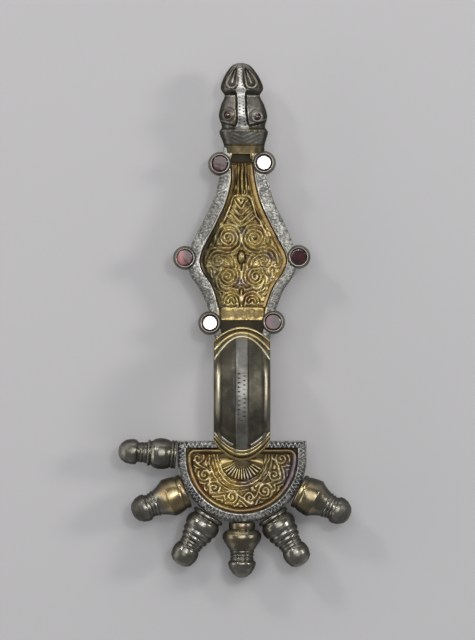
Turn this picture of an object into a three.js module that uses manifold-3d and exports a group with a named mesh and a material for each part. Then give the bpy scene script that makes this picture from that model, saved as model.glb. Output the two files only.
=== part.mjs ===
// A radiate-headed bow brooch: a gilded silver casting with an arched bow between a half-round
// head plate and a lozenge foot plate that ends in an animal head, six turned knobs, eight
// garnets, and a spring pin on the back. Millimetres. The wearer's side is -Z, the animal head
// points to +Y, and the origin is the centre of the head plate's half circle on its back face.
import * as THREE from 'three';
import { mergeVertices } from 'three/addons/utils/BufferGeometryUtils.js';
import Module from 'manifold-3d';

const wasm = await Module();
wasm.setup();

// Driving dimensions
const plateTop = 2.8;            // thickness of both plates at their silver borders
const fieldFloor = 1.2;          // height of the carved ground inside the borders
const standHeight = 9;           // how far the lugs and the catch reach below the plates

const headRadius = 18.8;         // half-round edge of the head plate
const headShoulder = 4.96;       // straight part above the half circle
const borderWidth = 2.5;
const rimWidth = 1.4;            // gilded slope between border and carved ground

const bowHalfWidth = 8.16;
const bowStart = -0.4;           // where the bow's middle lands on the head plate
const bowEnd = 37.9;             // and on the foot plate
const bowHeight = 17;
const bowBandThickness = 2.5;
const bowLanding = 0.5;          // height at which both ends are buried in the plates

const footLower = 33.4;          // the foot plate's edge under the bow
const neck = 89.8;               // where foot plate and animal head meet
const headTip = 115.1;

const bossRadius = 3.3;
const bossTop = 4.1;
const garnetRadius = 2.35;
const garnetThickness = 1.1;
const seatClearance = 0.06;      // between a stone and its setting, and under a knob

const axleHeight = -5.6;
const axleY = -2;
const axleRadius = 1;
const coilRadius = 3.2;
const lugSide = 8.7;             // inner faces of the two lugs
const lugThickness = 1.5;
const catchStart = 62;
const catchEnd = 76;

// Colours
const giltSilver = new THREE.MeshStandardMaterial({ color: 0xb79345, roughness: 0.38, metalness: 1 });
const darkSilver = new THREE.MeshStandardMaterial({ color: 0x5c5a50, roughness: 0.42, metalness: 1 });
const garnetRed = new THREE.MeshStandardMaterial({ color: 0x5a1420, roughness: 0.12, metalness: 0 });
const ironGrey = new THREE.MeshStandardMaterial({ color: 0x4a4038, roughness: 0.65, metalness: 0.8 });

// ---------------------------------------------------------------- helpers

const radians = THREE.MathUtils.degToRad;
const spread = (count, from, to) =>
  Array.from({ length: count }, (_, i) => from + (to - from) * i / (count - 1));

// A smooth function through [position, value] pairs in rising order.
function smoothProfile(pairs) {
  const slope = (i) => {
    const a = pairs[Math.max(i - 1, 0)];
    const b = pairs[Math.min(i + 1, pairs.length - 1)];
    return (b[1] - a[1]) / (b[0] - a[0]);
  };
  return (position) => {
    let i = 0;
    while (i < pairs.length - 2 && position > pairs[i + 1][0]) i += 1;
    const span = pairs[i + 1][0] - pairs[i][0];
    const t = THREE.MathUtils.clamp((position - pairs[i][0]) / span, 0, 1);
    const t2 = t * t;
    const t3 = t2 * t;
    return (2 * t3 - 3 * t2 + 1) * pairs[i][1] + (t3 - 2 * t2 + t) * span * slope(i)
      + (3 * t2 - 2 * t3) * pairs[i + 1][1] + (t3 - t2) * span * slope(i + 1);
  };
}

function geometryOf(points, faces) {
  const geometry = new THREE.BufferGeometry();
  geometry.setAttribute('position', new THREE.Float32BufferAttribute(points.flatMap((p) => [p.x, p.y, p.z]), 3));
  geometry.setIndex(faces.flat());
  return geometry;
}

function solidOf(geometry) {
  const plain = geometry.clone();
  plain.deleteAttribute('normal');
  plain.deleteAttribute('uv');
  const merged = mergeVertices(plain, 1e-4);
  return new wasm.Manifold(new wasm.Mesh({
    numProp: 3,
    vertProperties: Float32Array.from(merged.attributes.position.array),
    triVerts: Uint32Array.from(merged.index.array),
  }));
}

function meshOf(name, solid, material) {
  const { vertProperties, triVerts } = solid.getMesh();
  const geometry = new THREE.BufferGeometry();
  geometry.setAttribute('position', new THREE.BufferAttribute(vertProperties, 3));
  geometry.setIndex(new THREE.BufferAttribute(triVerts, 1));
  geometry.computeVertexNormals();
  const mesh = new THREE.Mesh(geometry, material);
  mesh.name = name;
  return mesh;
}

const joined = (solids) => solids.reduce((whole, solid) => whole.add(solid));

// A closed solid through level loops of equal length, each counter-clockwise seen from above.
function loft(loops) {
  const count = loops[0].length;
  const faces = [];
  for (let level = 0; level < loops.length - 1; level += 1) {
    for (let i = 0; i < count; i += 1) {
      const a = level * count + i;
      const b = level * count + (i + 1) % count;
      faces.push([a, b, b + count], [a, b + count, a + count]);
    }
  }
  const flat = loops[0].map((p) => new THREE.Vector2(p.x, p.y));
  const last = (loops.length - 1) * count;
  const top = loops.at(-1).map((p) => new THREE.Vector2(p.x, p.y));
  THREE.ShapeUtils.triangulateShape(flat, []).forEach(([a, b, c]) => faces.push([c, b, a]));
  THREE.ShapeUtils.triangulateShape(top, []).forEach(([a, b, c]) => faces.push([last + a, last + b, last + c]));
  return solidOf(geometryOf(loops.flat(), faces));
}

const atHeight = (outline, z) => outline.map(([x, y]) => new THREE.Vector3(x, y, z));

// A carved ridge of triangular section along a path of [x, y, z] points. It is sunk a little
// into the ground and runs out to nothing at its ends unless it is closed.
function ridge(path, width, height, { closed = false, sink = 0.35 } = {}) {
  const count = path.length;
  const points = [];
  path.forEach(([x, y, z], i) => {
    const before = path[closed ? (i + count - 1) % count : Math.max(i - 1, 0)];
    const after = path[closed ? (i + 1) % count : Math.min(i + 1, count - 1)];
    const along = new THREE.Vector2(after[0] - before[0], after[1] - before[1]).normalize();
    const isEnd = !closed && (i === 0 || i === count - 1);
    const half = isEnd ? width * 0.25 : width / 2;
    points.push(
      new THREE.Vector3(x + along.y * half, y - along.x * half, z - sink),
      new THREE.Vector3(x, y, z + (isEnd ? height * 0.3 : height)),
      new THREE.Vector3(x - along.y * half, y + along.x * half, z - sink),
    );
  });
  const faces = [];
  const steps = closed ? count : count - 1;
  for (let i = 0; i < steps; i += 1) {
    const a = 3 * i;
    const b = 3 * ((i + 1) % count);
    [[0, 1], [1, 2], [2, 0]].forEach(([p, q]) => faces.push([a + p, b + p, b + q], [a + p, b + q, a + q]));
  }
  if (!closed) faces.push([0, 1, 2], [3 * count - 1, 3 * count - 2, 3 * count - 3]);
  return solidOf(geometryOf(points, faces));
}

const arcPath = (cx, cy, radius, from, to, steps, z) => spread(steps + 1, radians(from), radians(to))
  .map((angle) => [cx + radius * Math.cos(angle), cy + radius * Math.sin(angle), z]);

// A spiral that winds inwards from its outer radius, starting at the given angle.
const spiralPath = (cx, cy, radius, startAngle, turns, steps, z) => spread(steps + 1, 0, 1).map((t) => {
  const angle = radians(startAngle + turns * 360 * t);
  const r = radius * (1 - 0.7 * t);
  return [cx + r * Math.cos(angle), cy + r * Math.sin(angle), z];
});

const mirrored = (path) => path.map(([x, y, z]) => [-x, y, z]);

function turned(profile, sides) {
  return new THREE.LatheGeometry(profile.map(([r, y]) => new THREE.Vector2(r, y)), sides);
}

// ---------------------------------------------------------------- head plate

function headOutline(inset, shoulder, steps) {
  const radius = headRadius - inset;
  const arc = spread(steps + 1, radians(180), radians(360))
    .map((angle) => [radius * Math.cos(angle), radius * Math.sin(angle)]);
  return [...arc, [radius, shoulder], [-radius, shoulder]];
}

function headPlate() {
  const steps = 26;
  const slab = loft([0, plateTop].map((z) => atHeight(headOutline(0, headShoulder, steps), z)));
  const rimOuter = headOutline(borderWidth, headShoulder - 1.9, steps);
  const rimInner = headOutline(borderWidth + rimWidth, headShoulder - 2.8, steps);
  const field = loft([atHeight(rimInner, fieldFloor), atHeight(rimOuter, plateTop), atHeight(rimOuter, plateTop + 2)]);
  const rimCrest = headOutline(borderWidth - 0.15, headShoulder - 1.75, 22).map(([x, y]) => [x, y, plateTop]);

  const collars = [8.75, 7.8, 6.9].map((r) => ridge(arcPath(0, 0, r, 165, 375, 11, fieldFloor), 0.85, 0.85));
  const fan = spread(9, 216, 324).map((angle) => {
    const from = [4.6 * Math.cos(radians(angle)), 4.6 * Math.sin(radians(angle)), fieldFloor];
    const to = [6.6 * Math.cos(radians(angle)), 6.6 * Math.sin(radians(angle)), fieldFloor];
    return ridge([from, to], 0.8, 0.75);
  });
  const spirals = [180, 202, 228, 254, 280, 306, 332, 358].map((angle, i) => {
    const x = 11.7 * Math.cos(radians(angle));
    const y = 11.7 * Math.sin(radians(angle));
    const isLeft = i < 4;
    return ridge(spiralPath(x, y, 2.5, isLeft ? 200 : -20, isLeft ? -1.35 : 1.35, 8, fieldFloor), 0.9, 0.85);
  });
  return joined([slab.subtract(field), ridge(rimCrest, 0.9, 0.4, { closed: true }), ...collars, ...fan, ...spirals]);
}

// ---------------------------------------------------------------- foot plate

const footHalfWidth = smoothProfile([
  [footLower, 7.9], [39, 9], [44, 10.2], [49, 12.2], [53, 14.9], [57, 16.1], [61, 15.3],
  [69.4, 11.1], [75.2, 8.4], [81, 6.9], [neck, 5.8],
]);

// The plate's outline, or a line at an even distance inside it, between two heights.
function footOutline(inset, from, to, steps) {
  const right = spread(steps + 1, from, to).map((y) => {
    const slope = (footHalfWidth(y + 0.5) - footHalfWidth(y - 0.5));
    return [Math.max(footHalfWidth(y) - inset * Math.hypot(1, slope), 1.8), y];
  });
  return [...right, ...right.map(([x, y]) => [-x, y]).reverse()];
}

function footPlate() {
  const slab = loft([0, plateTop].map((z) => atHeight(footOutline(0, footLower, neck + 1, 16), z)));
  const fieldFrom = 43.6;
  const fieldTo = 84.5;
  const steps = 14;
  const field = loft([
    atHeight(footOutline(borderWidth + 2, fieldFrom + 1.5, fieldTo - 1, steps), fieldFloor),
    atHeight(footOutline(borderWidth, fieldFrom, fieldTo, steps), plateTop),
    atHeight(footOutline(borderWidth, fieldFrom, fieldTo, steps), plateTop + 2),
  ]);
  const crest = footOutline(borderWidth - 0.2, fieldFrom, fieldTo, steps).map(([x, y]) => [x, y, plateTop]);
  const half = crest.length / 2;
  const rims = [crest.slice(0, half), crest.slice(half)].map((path) => ridge(path, 0.8, 0.4));

  const z = fieldFloor;
  const flutes = [-1.7, -0.6, 0.6, 1.7].map((x) => ridge([[x * 0.9, 83, z], [x * 1.5, 76.6, z]], 0.9, 1));
  const chevrons = spread(5, 75.8, 69.4).map((y, i) => {
    const reach = 1.9 + 0.55 * i;
    return ridge([[-reach, y, z], [0, y - 2.2 - 0.2 * i, z], [reach, y, z]], 0.8, 0.9);
  });
  const frames = [[2.9, 76.8, z], [3.6, 73, z], [5, 69.2, z], [4.4, 67.4, z]];
  const bigSpirals = [0, 0.75].map((shift) => [
    [0.2, 66 - shift, z],
    ...spiralPath(4, 63.9, 3.4 - shift, 124, -1.6, 11, z),
  ]);
  const tail = [[1, 62.2, z], [3.4, 60.2, z], [6.5, 60.4, z], [9.6, 59.8, z], [11, 57.9, z]];
  const smallSpiral = spiralPath(6.6, 57.6, 1.9, 40, 1.3, 8, z);
  const lowerSpiral = spiralPath(4.2, 52.9, 2.7, 100, -1.5, 11, z);
  const bars = [7.2, 8.8].map((x) => [[x, 54.4, z], [x - 0.5, 50.6, z]]);
  const hooks = [[1.2, 49.6], [3.4, 48.6]].map(([x, y]) => arcPath(x, y - 2, 2, 150, -40, 5, z));
  const paired = [frames, ...bigSpirals, tail, smallSpiral, lowerSpiral, ...bars, ...hooks];
  const relief = paired.flatMap((path) => [ridge(path, 0.9, 0.9), ridge(mirrored(path).reverse(), 0.9, 0.9)]);
  const drop = ridge([[0, 60.4, z], [0, 58.3, z], [0, 56, z]], 2, 1.1);
  return joined([slab.subtract(field), ...rims, ...flutes, ...chevrons, ...relief, drop]);
}

// ---------------------------------------------------------------- bow

const archRise = (t) => Math.sqrt(Math.max(1 - Math.abs(t) ** 2.3, 0));

// Height of the bow's cross section below its middle: a flat band, two panels and two flanges.
const bowSection = smoothProfile([[0, 0], [1.5, 0.1], [2.1, 0.75], [4.2, 1.1], [6, 2.3], [6.8, 1.9], [bowHalfWidth, 3.4]]);

// Outer end lines of the bow: round in plan, because the section bulges forwards where it lands.
const bowStartAt = (x) => bowStart + 5.6 * (x / bowHalfWidth) ** 2;
const bowEndAt = (x) => bowEnd - 4 * (x / bowHalfWidth) ** 2;

function bowTopPoint(x, t) {
  const from = bowStartAt(x);
  const to = bowEndAt(x);
  const rise = archRise(t);
  const z = bowLanding + (bowHeight - bowLanding) * rise - bowSection(Math.abs(x)) * rise;
  return new THREE.Vector3(x, (from + to) / 2 + t * (to - from) / 2, z);
}

// Rows along the bow from one landing to the other, with narrow rows that carry the end ribs.
const ribHeight = 0.45;
const ribbedRows = [
  [-1, 0], [-0.992, ribHeight], [-0.98, 0], [-0.968, ribHeight], [-0.95, 0], [-0.93, ribHeight], [-0.905, 0],
  ...spread(9, -0.8, 0.8).map((t) => [t, 0]),
  [0.925, 0], [0.95, ribHeight], [0.97, 0], [0.987, ribHeight], [1, 0],
];

// A closed solid between a grid of points, rising in x and then in y, and a level below it.
function gridOver(columns, floor) {
  const rows = columns[0].length;
  const top = columns.flat();
  const faces = [];
  const quad = (a, b, c, d) => faces.push([a, b, c], [a, c, d]);
  for (let i = 0; i < columns.length - 1; i += 1) {
    for (let j = 0; j < rows - 1; j += 1) {
      const a = i * rows + j;
      quad(a, a + rows, a + rows + 1, a + 1);
    }
  }
  const innerRows = Array.from({ length: rows - 2 }, (_, j) => j + 1);
  const rim = [
    ...columns.map((_, i) => i * rows),
    ...innerRows.map((j) => (columns.length - 1) * rows + j),
    ...columns.map((_, i) => i * rows + rows - 1).reverse(),
    ...[...innerRows].reverse(),
  ];
  const foot = top.length;
  const base = rim.map((index) => new THREE.Vector3(top[index].x, top[index].y, floor));
  rim.forEach((index, i) => {
    const next = (i + 1) % rim.length;
    quad(index, foot + i, foot + next, rim[next]);
  });
  const middle = base.reduce((sum, point) => sum.add(point), new THREE.Vector3()).divideScalar(base.length);
  base.forEach((_, i) => faces.push([foot + (i + 1) % base.length, foot + i, foot + base.length]));
  return solidOf(geometryOf([...top, ...base, middle], faces));
}

// The open space under the bow, from plate to plate.
function bowTunnel() {
  const from = headShoulder + 0.6;
  const to = footLower - 0.7;
  const columns = spread(5, -bowHalfWidth - 1, bowHalfWidth + 1).map((x) => spread(13, -1, 1)
    .map((t) => Math.sin(t * Math.PI / 2)).map((t) => {
      const crown = bowHeight - bowBandThickness - 0.9 * bowSection(Math.min(Math.abs(x), bowHalfWidth));
      return new THREE.Vector3(x, (from + to) / 2 + t * (to - from) / 2, bowLanding + crown * archRise(t) * 0.965);
    }));
  return gridOver(columns, -1);
}

function bow() {
  const half = [1.5, 2.1, 4.2, 6, 6.8, bowHalfWidth];
  const xs = [...half.map((x) => -x).reverse(), 0, ...half];
  // The ribs stand out from the steep ends of the bow and fade at its edges.
  const columns = xs.map((x) => ribbedRows.map(([t, lift]) => {
    const raised = Math.abs(x) < bowHalfWidth ? lift : 0;
    return bowTopPoint(x, t).add(new THREE.Vector3(0, Math.sign(t) * raised, raised));
  }));
  return gridOver(columns, bowLanding - 0.2).subtract(bowTunnel());
}

// ---------------------------------------------------------------- animal head

const headHalfWidth = smoothProfile([
  [neck - 1, 5.8], [91.4, 6], [95, 7.1], [96.4, 6.3], [99.5, 7.05], [102.9, 6.3], [105.6, 5.15],
  [107.6, 6.2], [110.2, 5.5], [113.1, 3.8], [114.6, 2.3], [headTip, 0.9],
]);
const headHeight = smoothProfile([
  [neck - 1, 3.4], [91.4, 4.2], [95, 5.4], [96.4, 5], [99.5, 6.2], [103, 5.8], [105.6, 4.6],
  [108, 5], [111.5, 4.3], [headTip, 2.2],
]);
// How deep the two grooves beside the middle strip are cut.
const grooveDepth = smoothProfile([[neck - 1, 0], [95.6, 0.05], [97.5, 0.9], [104, 0.7], [106, 0.2], [108.5, 0.9], [112, 0.4], [headTip, 0]]);
const headLean = (y) => 0.5 - 0.04 * (y - 95);

function headSurfacePoint(y, u) {
  const side = Math.abs(u);
  const groove = grooveDepth(y) * Math.exp(-(((side - 0.32) / 0.1) ** 2));
  const fall = (headHeight(y) - 1.3) * (0.12 * side ** 2 + 0.78 * side ** 6);
  return new THREE.Vector3(headLean(y) + u * headHalfWidth(y), y, headHeight(y) - groove - fall);
}

function animalHead() {
  const ys = [neck - 1, 91.4, 93.4, 95, 96.2, 97.5, 99, 100.6, 102.4, 104.2, 105.6, 106.6, 108, 110, 112, 113.6, headTip];
  const us = [-1, -0.85, -0.62, -0.42, -0.32, -0.22, 0, 0.22, 0.32, 0.42, 0.62, 0.85, 1];
  const columns = us.length;
  const points = ys.flatMap((y) => us.map((u) => headSurfacePoint(y, u)));
  const backStart = points.length;
  ys.forEach((y) => [-1, 1].forEach((side) =>
    points.push(new THREE.Vector3(headLean(y) + side * headHalfWidth(y) * 0.94, y, 0))));
  const faces = [];
  const quad = (a, b, c, d) => faces.push([a, b, c], [a, c, d]);
  for (let j = 0; j < ys.length - 1; j += 1) {
    const row = j * columns;
    const back = backStart + 2 * j;
    for (let i = 0; i < columns - 1; i += 1) quad(row + i, row + i + 1, row + i + 1 + columns, row + i + columns);
    quad(row, row + columns, back + 2, back);
    quad(row + columns - 1, back + 1, back + 3, row + 2 * columns - 1);
    quad(back + 1, back, back + 2, back + 3);
  }
  [0, ys.length - 1].forEach((j, end) => {
    const row = Array.from({ length: columns }, (_, i) => j * columns + i);
    const back = backStart + 2 * j;
    for (let i = 0; i < columns - 1; i += 1) {
      faces.push(end ? [row[i], row[i + 1], back] : [row[i + 1], row[i], back]);
    }
    faces.push(end ? [row[columns - 1], back + 1, back] : [back + 1, row[columns - 1], back]);
  });
  return solidOf(geometryOf(points, faces));
}

// ---------------------------------------------------------------- settings and stones

const stonePlaces = {
  neck_left: [-6.41, 85.7], neck_right: [6.41, 86],
  side_left: [-16.6, 58.3], side_right: [16.5, 58.6],
  bow_left: [-9.3, 39.35], bow_right: [9.1, 39.6],
};
const eyePlaces = { left: [-4.15, 99.7], right: [4.42, 99.2] };
const eyeRadius = 0.95;
const eyeRimRadius = 1.5;
const eyeRimTop = 6.3;

// A round collar standing on the casting, and the hole that is cut into it for its stone.
function setting([x, y], { outer, top, floor, seat, sides }) {
  const collar = turned([[0, 0.3], [outer, 0.3], [outer, top - 0.7], [outer - 0.3, top], [0, top]], sides);
  const hole = turned([[0, floor], [seat, floor], [seat, top + 1], [0, top + 1]], sides);
  const place = (geometry) => solidOf(geometry.rotateX(Math.PI / 2).translate(x, y, 0));
  return { collar: place(collar), hole: place(hole) };
}

const bossSettings = Object.values(stonePlaces).map((place) => setting(place, {
  outer: bossRadius, top: bossTop, floor: bossTop - garnetThickness - 0.15, seat: garnetRadius + seatClearance, sides: 14,
}));
const eyeSettings = Object.values(eyePlaces).map((place) => setting(place, {
  outer: eyeRimRadius, top: eyeRimTop, floor: eyeRimTop - 1, seat: eyeRadius + seatClearance, sides: 10,
}));

function garnet(name, [x, y]) {
  const stone = turned([[0, 0], [garnetRadius, 0], [garnetRadius, garnetThickness - 0.25],
    [garnetRadius - 0.25, garnetThickness - 0.05], [0, garnetThickness]], 14);
  const mesh = new THREE.Mesh(stone.rotateX(Math.PI / 2), garnetRed);
  mesh.name = name;
  mesh.position.set(x, y, bossTop - garnetThickness - 0.1);
  return mesh;
}

function eye(name, [x, y]) {
  const stone = turned([[0, 0], [eyeRadius, 0], [eyeRadius, 0.6], [eyeRadius * 0.7, 0.95], [0, 1.1]], 10);
  const mesh = new THREE.Mesh(stone.rotateX(Math.PI / 2), garnetRed);
  mesh.name = name;
  mesh.position.set(x, y, eyeRimTop - 0.95);
  return mesh;
}

// ---------------------------------------------------------------- back of the casting

function slabBlock(x0, x1, y0, y1, z0, z1) {
  const box = new THREE.BoxGeometry(x1 - x0, y1 - y0, z1 - z0);
  return solidOf(box.translate((x0 + x1) / 2, (y0 + y1) / 2, (z0 + z1) / 2));
}

function lug(side) {
  const outline = new THREE.Shape();
  outline.moveTo(axleY - 3.4, 0.4);
  outline.lineTo(axleY - 2.4, -standHeight);
  outline.lineTo(axleY + 2.4, -standHeight);
  outline.lineTo(axleY + 3.4, 0.4);
  const eyeHole = new THREE.Path();
  eyeHole.absarc(axleY, axleHeight, axleRadius + seatClearance, 0, Math.PI * 2);
  outline.holes.push(eyeHole);
  const plate = new THREE.ExtrudeGeometry(outline, { depth: lugThickness, bevelEnabled: false, curveSegments: 8 });
  plate.applyMatrix4(new THREE.Matrix4().makeBasis(
    new THREE.Vector3(0, 1, 0), new THREE.Vector3(0, 0, 1), new THREE.Vector3(1, 0, 0)));
  return solidOf(plate.translate(side > 0 ? lugSide : -lugSide - lugThickness, 0, 0));
}

// The catch is a fin with a foot turned under the pin, open towards -X.
function pinCatch() {
  const fin = slabBlock(1.3, 2.6, catchStart, catchEnd, -standHeight, 0.4);
  const lip = slabBlock(-1.7, 1.5, catchStart, catchEnd, -standHeight, -7.9);
  return joined([fin, lip]);
}

// ---------------------------------------------------------------- knobs

// Turned profiles as [radius, distance from the plate's edge].
const knobProfiles = {
  wide: [[0, 0], [3.9, 0], [4.4, 1.2], [4.3, 2], [5.5, 3.4], [5.6, 6], [4.2, 8.6], [3.4, 9.8], [3.2, 10.7], [3.6, 11.4],
    [4, 13], [3.7, 14.6], [2.6, 16.1], [1.3, 16.8], [0, 16.9]],
  slender: [[0, 0], [4.4, 0], [4.4, 1.1], [3.8, 1.6], [5.1, 3.6], [5.2, 5.2], [4.8, 6.8], [3.9, 7.8], [3.3, 8.4], [3.3, 11.2],
    [3.9, 13.2], [3.8, 14.4], [2.3, 16.4], [0, 17]],
  ringed: [[0, 0], [4.2, 0], [4.2, 1.4], [3.7, 1.6], [4.5, 3.4], [4.5, 5.1], [3.5, 7.5], [3.9, 8.1], [3, 8.7], [2.8, 10.6],
    [3.6, 11.8], [3.7, 13], [3.4, 14.7], [2.4, 16.1], [0, 16.9]],
  central: [[0, 0], [3.8, 0], [3.8, 1.9], [4.9, 2.4], [5.7, 4.1], [5.2, 5.6], [3.9, 7.6], [3.4, 8.6], [3.4, 10.6], [4.1, 11.7],
    [3.7, 13.3], [2.7, 14.8], [1.5, 15.8], [0, 16.1]],
};

// Where each knob sits on the edge of the plate, and the way it points, in degrees from +X.
const knobPlaces = [
  { name: 'knob_1', kind: 'ringed', seat: [-headRadius, 0.9], points: 176 },
  { name: 'knob_2', kind: 'wide', seat: [-16.3, -9.5], points: 203 },
  { name: 'knob_3', kind: 'slender', seat: [-9.6, -16.6], points: 238 },
  { name: 'knob_4', kind: 'central', seat: [0, -headRadius], points: 270 },
  { name: 'knob_5', kind: 'slender', seat: [8.75, -16.7], points: 302.4 },
  { name: 'knob_6', kind: 'wide', seat: [16.3, -9.5], points: 333.4 },
];

function knob({ name, kind, seat, points }) {
  const way = [Math.cos(radians(points)), Math.sin(radians(points))];
  const reach = (x, y) => x * way[0] + y * way[1];
  const edge = Math.max(...headOutline(0, headShoulder, 144).map(([x, y]) => reach(x, y)));
  const lift = Math.max(edge + seatClearance - reach(...seat), 0);
  const mesh = new THREE.Mesh(turned(knobProfiles[kind], 14), darkSilver);
  mesh.name = name;
  mesh.rotation.z = radians(points - 90);
  mesh.position.set(seat[0] + lift * way[0], seat[1] + lift * way[1], plateTop / 2);
  return mesh;
}

// ---------------------------------------------------------------- spring and pin

const pinTip = 78.5;
const pinEyeRadius = 2.5;
const pinEyeHalfWidth = 0.8;
const coilInner = 1.8;           // inner end of each half of the coil, clear of the pin's eye
const coilTurns = 3;
const wireRadius = (lugSide - 0.3 - coilInner) / coilTurns / 2;

function coilHalf(side) {
  const bumps = Array.from({ length: coilTurns }, (_, i) => {
    const start = coilInner + 2 * wireRadius * i;
    return [[coilRadius - 0.45, start], [coilRadius, start + wireRadius]];
  }).flat();
  const end = coilInner + 2 * wireRadius * coilTurns;
  const profile = [[axleRadius + 0.1, coilInner], ...bumps, [coilRadius - 0.45, end],
    [axleRadius + 0.1, end], [axleRadius + 0.1, coilInner]];
  const half = solidOf(turned(profile, 10).rotateZ(-Math.PI / 2).translate(0, axleY, axleHeight));
  return side > 0 ? half : half.mirror([1, 0, 0]);
}

function springCoil() {
  const chordY = axleY - coilRadius - 0.2;
  const chord = turned([[0, -4], [0.6, -4], [0.6, 4], [0, 4]], 8).rotateZ(Math.PI / 2);
  return meshOf('spring_coil', joined([coilHalf(1), coilHalf(-1), solidOf(chord.translate(0, chordY, axleHeight))]), ironGrey);
}

function springAxle() {
  const half = lugSide + lugThickness;
  const head = 1.7;
  const rod = turned([[0, -half - 0.9], [head, -half - 0.9], [head, -half - 0.1], [axleRadius, -half - 0.1],
    [axleRadius, half + 0.1], [head, half + 0.1], [head, half + 0.9], [0, half + 0.9]], 12);
  const mesh = new THREE.Mesh(rod.rotateZ(-Math.PI / 2), ironGrey);
  mesh.name = 'spring_axle';
  mesh.position.set(0, axleY, axleHeight);
  return mesh;
}

// The pin hangs on the axle by an eye with room to swing sideways, and tapers to its point.
function pin() {
  const ring = turned([[axleRadius + 0.35, -pinEyeHalfWidth], [pinEyeRadius, -pinEyeHalfWidth],
    [pinEyeRadius, pinEyeHalfWidth], [axleRadius + 0.35, pinEyeHalfWidth], [axleRadius + 0.35, -pinEyeHalfWidth]], 14);
  const length = pinTip - axleY;
  const shank = turned([[0, 1.8], [0.9, 1.8], [0.85, length * 0.5], [0.5, length * 0.9], [0.1, length], [0, length]], 8);
  const droop = Math.asin(1.5 / length);
  return meshOf('pin', joined([
    solidOf(ring.rotateZ(Math.PI / 2)), solidOf(shank.rotateX(-droop)),
  ]).translate([0, axleY, axleHeight]), ironGrey);
}

// ---------------------------------------------------------------- assembly

function casting() {
  const body = joined([headPlate(), footPlate(), bow(), animalHead(), lug(-1), lug(1), pinCatch(),
    ...[...bossSettings, ...eyeSettings].map(({ collar }) => collar)]);
  const holes = joined([...bossSettings, ...eyeSettings].map(({ hole }) => hole));
  return meshOf('brooch_casting', body.subtract(holes), giltSilver);
}

const brooch = new THREE.Group();
brooch.add(casting());
knobPlaces.forEach((place) => brooch.add(knob(place)));
Object.entries(stonePlaces).forEach(([name, place]) => brooch.add(garnet(`garnet_${name}`, place)));
Object.entries(eyePlaces).forEach(([name, place]) => brooch.add(eye(`eye_${name}`, place)));
brooch.add(springAxle(), springCoil(), pin());

export default brooch;
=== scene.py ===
# Radiate-headed bow brooch, lying on its back. The meshes are worked out in millimetres, in the
# same frame as the solids: X across, Y to the animal head, Z off the cloth.
import math

import bpy
import numpy as np
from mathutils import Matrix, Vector


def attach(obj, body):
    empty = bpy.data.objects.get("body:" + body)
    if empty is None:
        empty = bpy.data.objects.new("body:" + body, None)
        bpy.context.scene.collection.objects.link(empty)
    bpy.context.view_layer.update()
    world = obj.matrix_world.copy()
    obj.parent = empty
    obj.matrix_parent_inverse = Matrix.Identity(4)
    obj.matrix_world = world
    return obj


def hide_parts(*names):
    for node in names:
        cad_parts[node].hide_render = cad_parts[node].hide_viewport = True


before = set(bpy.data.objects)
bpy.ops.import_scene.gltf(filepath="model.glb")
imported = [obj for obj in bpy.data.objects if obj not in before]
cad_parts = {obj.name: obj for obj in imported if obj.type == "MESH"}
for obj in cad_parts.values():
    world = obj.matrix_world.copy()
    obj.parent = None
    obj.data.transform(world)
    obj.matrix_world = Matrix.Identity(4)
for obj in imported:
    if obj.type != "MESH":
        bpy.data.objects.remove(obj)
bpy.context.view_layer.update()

mm = 0.001

# what the head plate and the foot plate share
plate = {
    "top": 2.8, "floor": 1.2,                               # silver border and carved ground
    "borderWidth": 2.45,
    "edgeDrop": 0.35, "edgeRound": 0.4,                     # how far the border's outer edge is rounded
    "wall": ((1.3, 0.02), (0.25, -0.02), (0.0, -0.25)),     # edge loops: height, how far out
}
# edges and backs are darkened a little, as painted shade
plainSide = {"gild": 0.12, "hollow": 0.15, "dark": 0.4}     # edges and backs

# what the materials read from the meshes: gilding, kind of inlay, place along and across its rows,
# hollow (1) or crest (-1), for dirt and painted shade in hollows and wear and painted highlight on crests,
# warm tint, darkening (tarnish and painted shade), and wear of the inlay
markNames = ("gild", "inlay", "run", "across", "hollow", "tint", "dark", "worn")


def smoothProfile(pairs):
    # a smooth curve through pairs of place and value
    places = np.array([p[0] for p in pairs], float)
    values = np.array([p[1] for p in pairs], float)
    slopes = np.empty_like(values)
    slopes[1:-1] = (values[2:] - values[:-2]) / (places[2:] - places[:-2])
    slopes[0] = (values[1] - values[0]) / (places[1] - places[0])
    slopes[-1] = (values[-1] - values[-2]) / (places[-1] - places[-2])

    def at(place):
        place = np.asarray(place, float)
        i = np.clip(np.searchsorted(places, place, side="right") - 1, 0, len(places) - 2)
        span = places[i + 1] - places[i]
        t = np.clip((place - places[i]) / span, 0, 1)
        a = (2 * t**3 - 3 * t**2 + 1) * values[i] + (t**3 - 2 * t**2 + t) * span * slopes[i]
        return a + (3 * t**2 - 2 * t**3) * values[i + 1] + (t**3 - t**2) * span * slopes[i + 1]
    return at


def unevenness(x, y, size, seed):
    # smooth wandering between about -1 and 1, with features of the given size
    waves = np.random.default_rng(seed)
    total = np.zeros_like(np.asarray(x, float) + np.asarray(y, float))
    for _ in range(8):
        angle = waves.uniform(0, 2 * np.pi)
        k = 2 * np.pi / (size * waves.uniform(0.7, 1.7))
        total += np.sin(k * (x * np.cos(angle) + y * np.sin(angle)) + waves.uniform(0, 2 * np.pi))
    return total / 3.6


def rise(low, high, value):
    # smooth step from 0 at low to 1 at high
    t = np.clip((value - low) / (high - low), 0, 1)
    return t * t * (3 - 2 * t)


def bump(centre, halfWidth, value):
    # 1 at the centre, 0 from half a width away
    return np.clip(1 - np.abs((value - centre) / halfWidth) ** 1.8, 0, 1)


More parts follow.
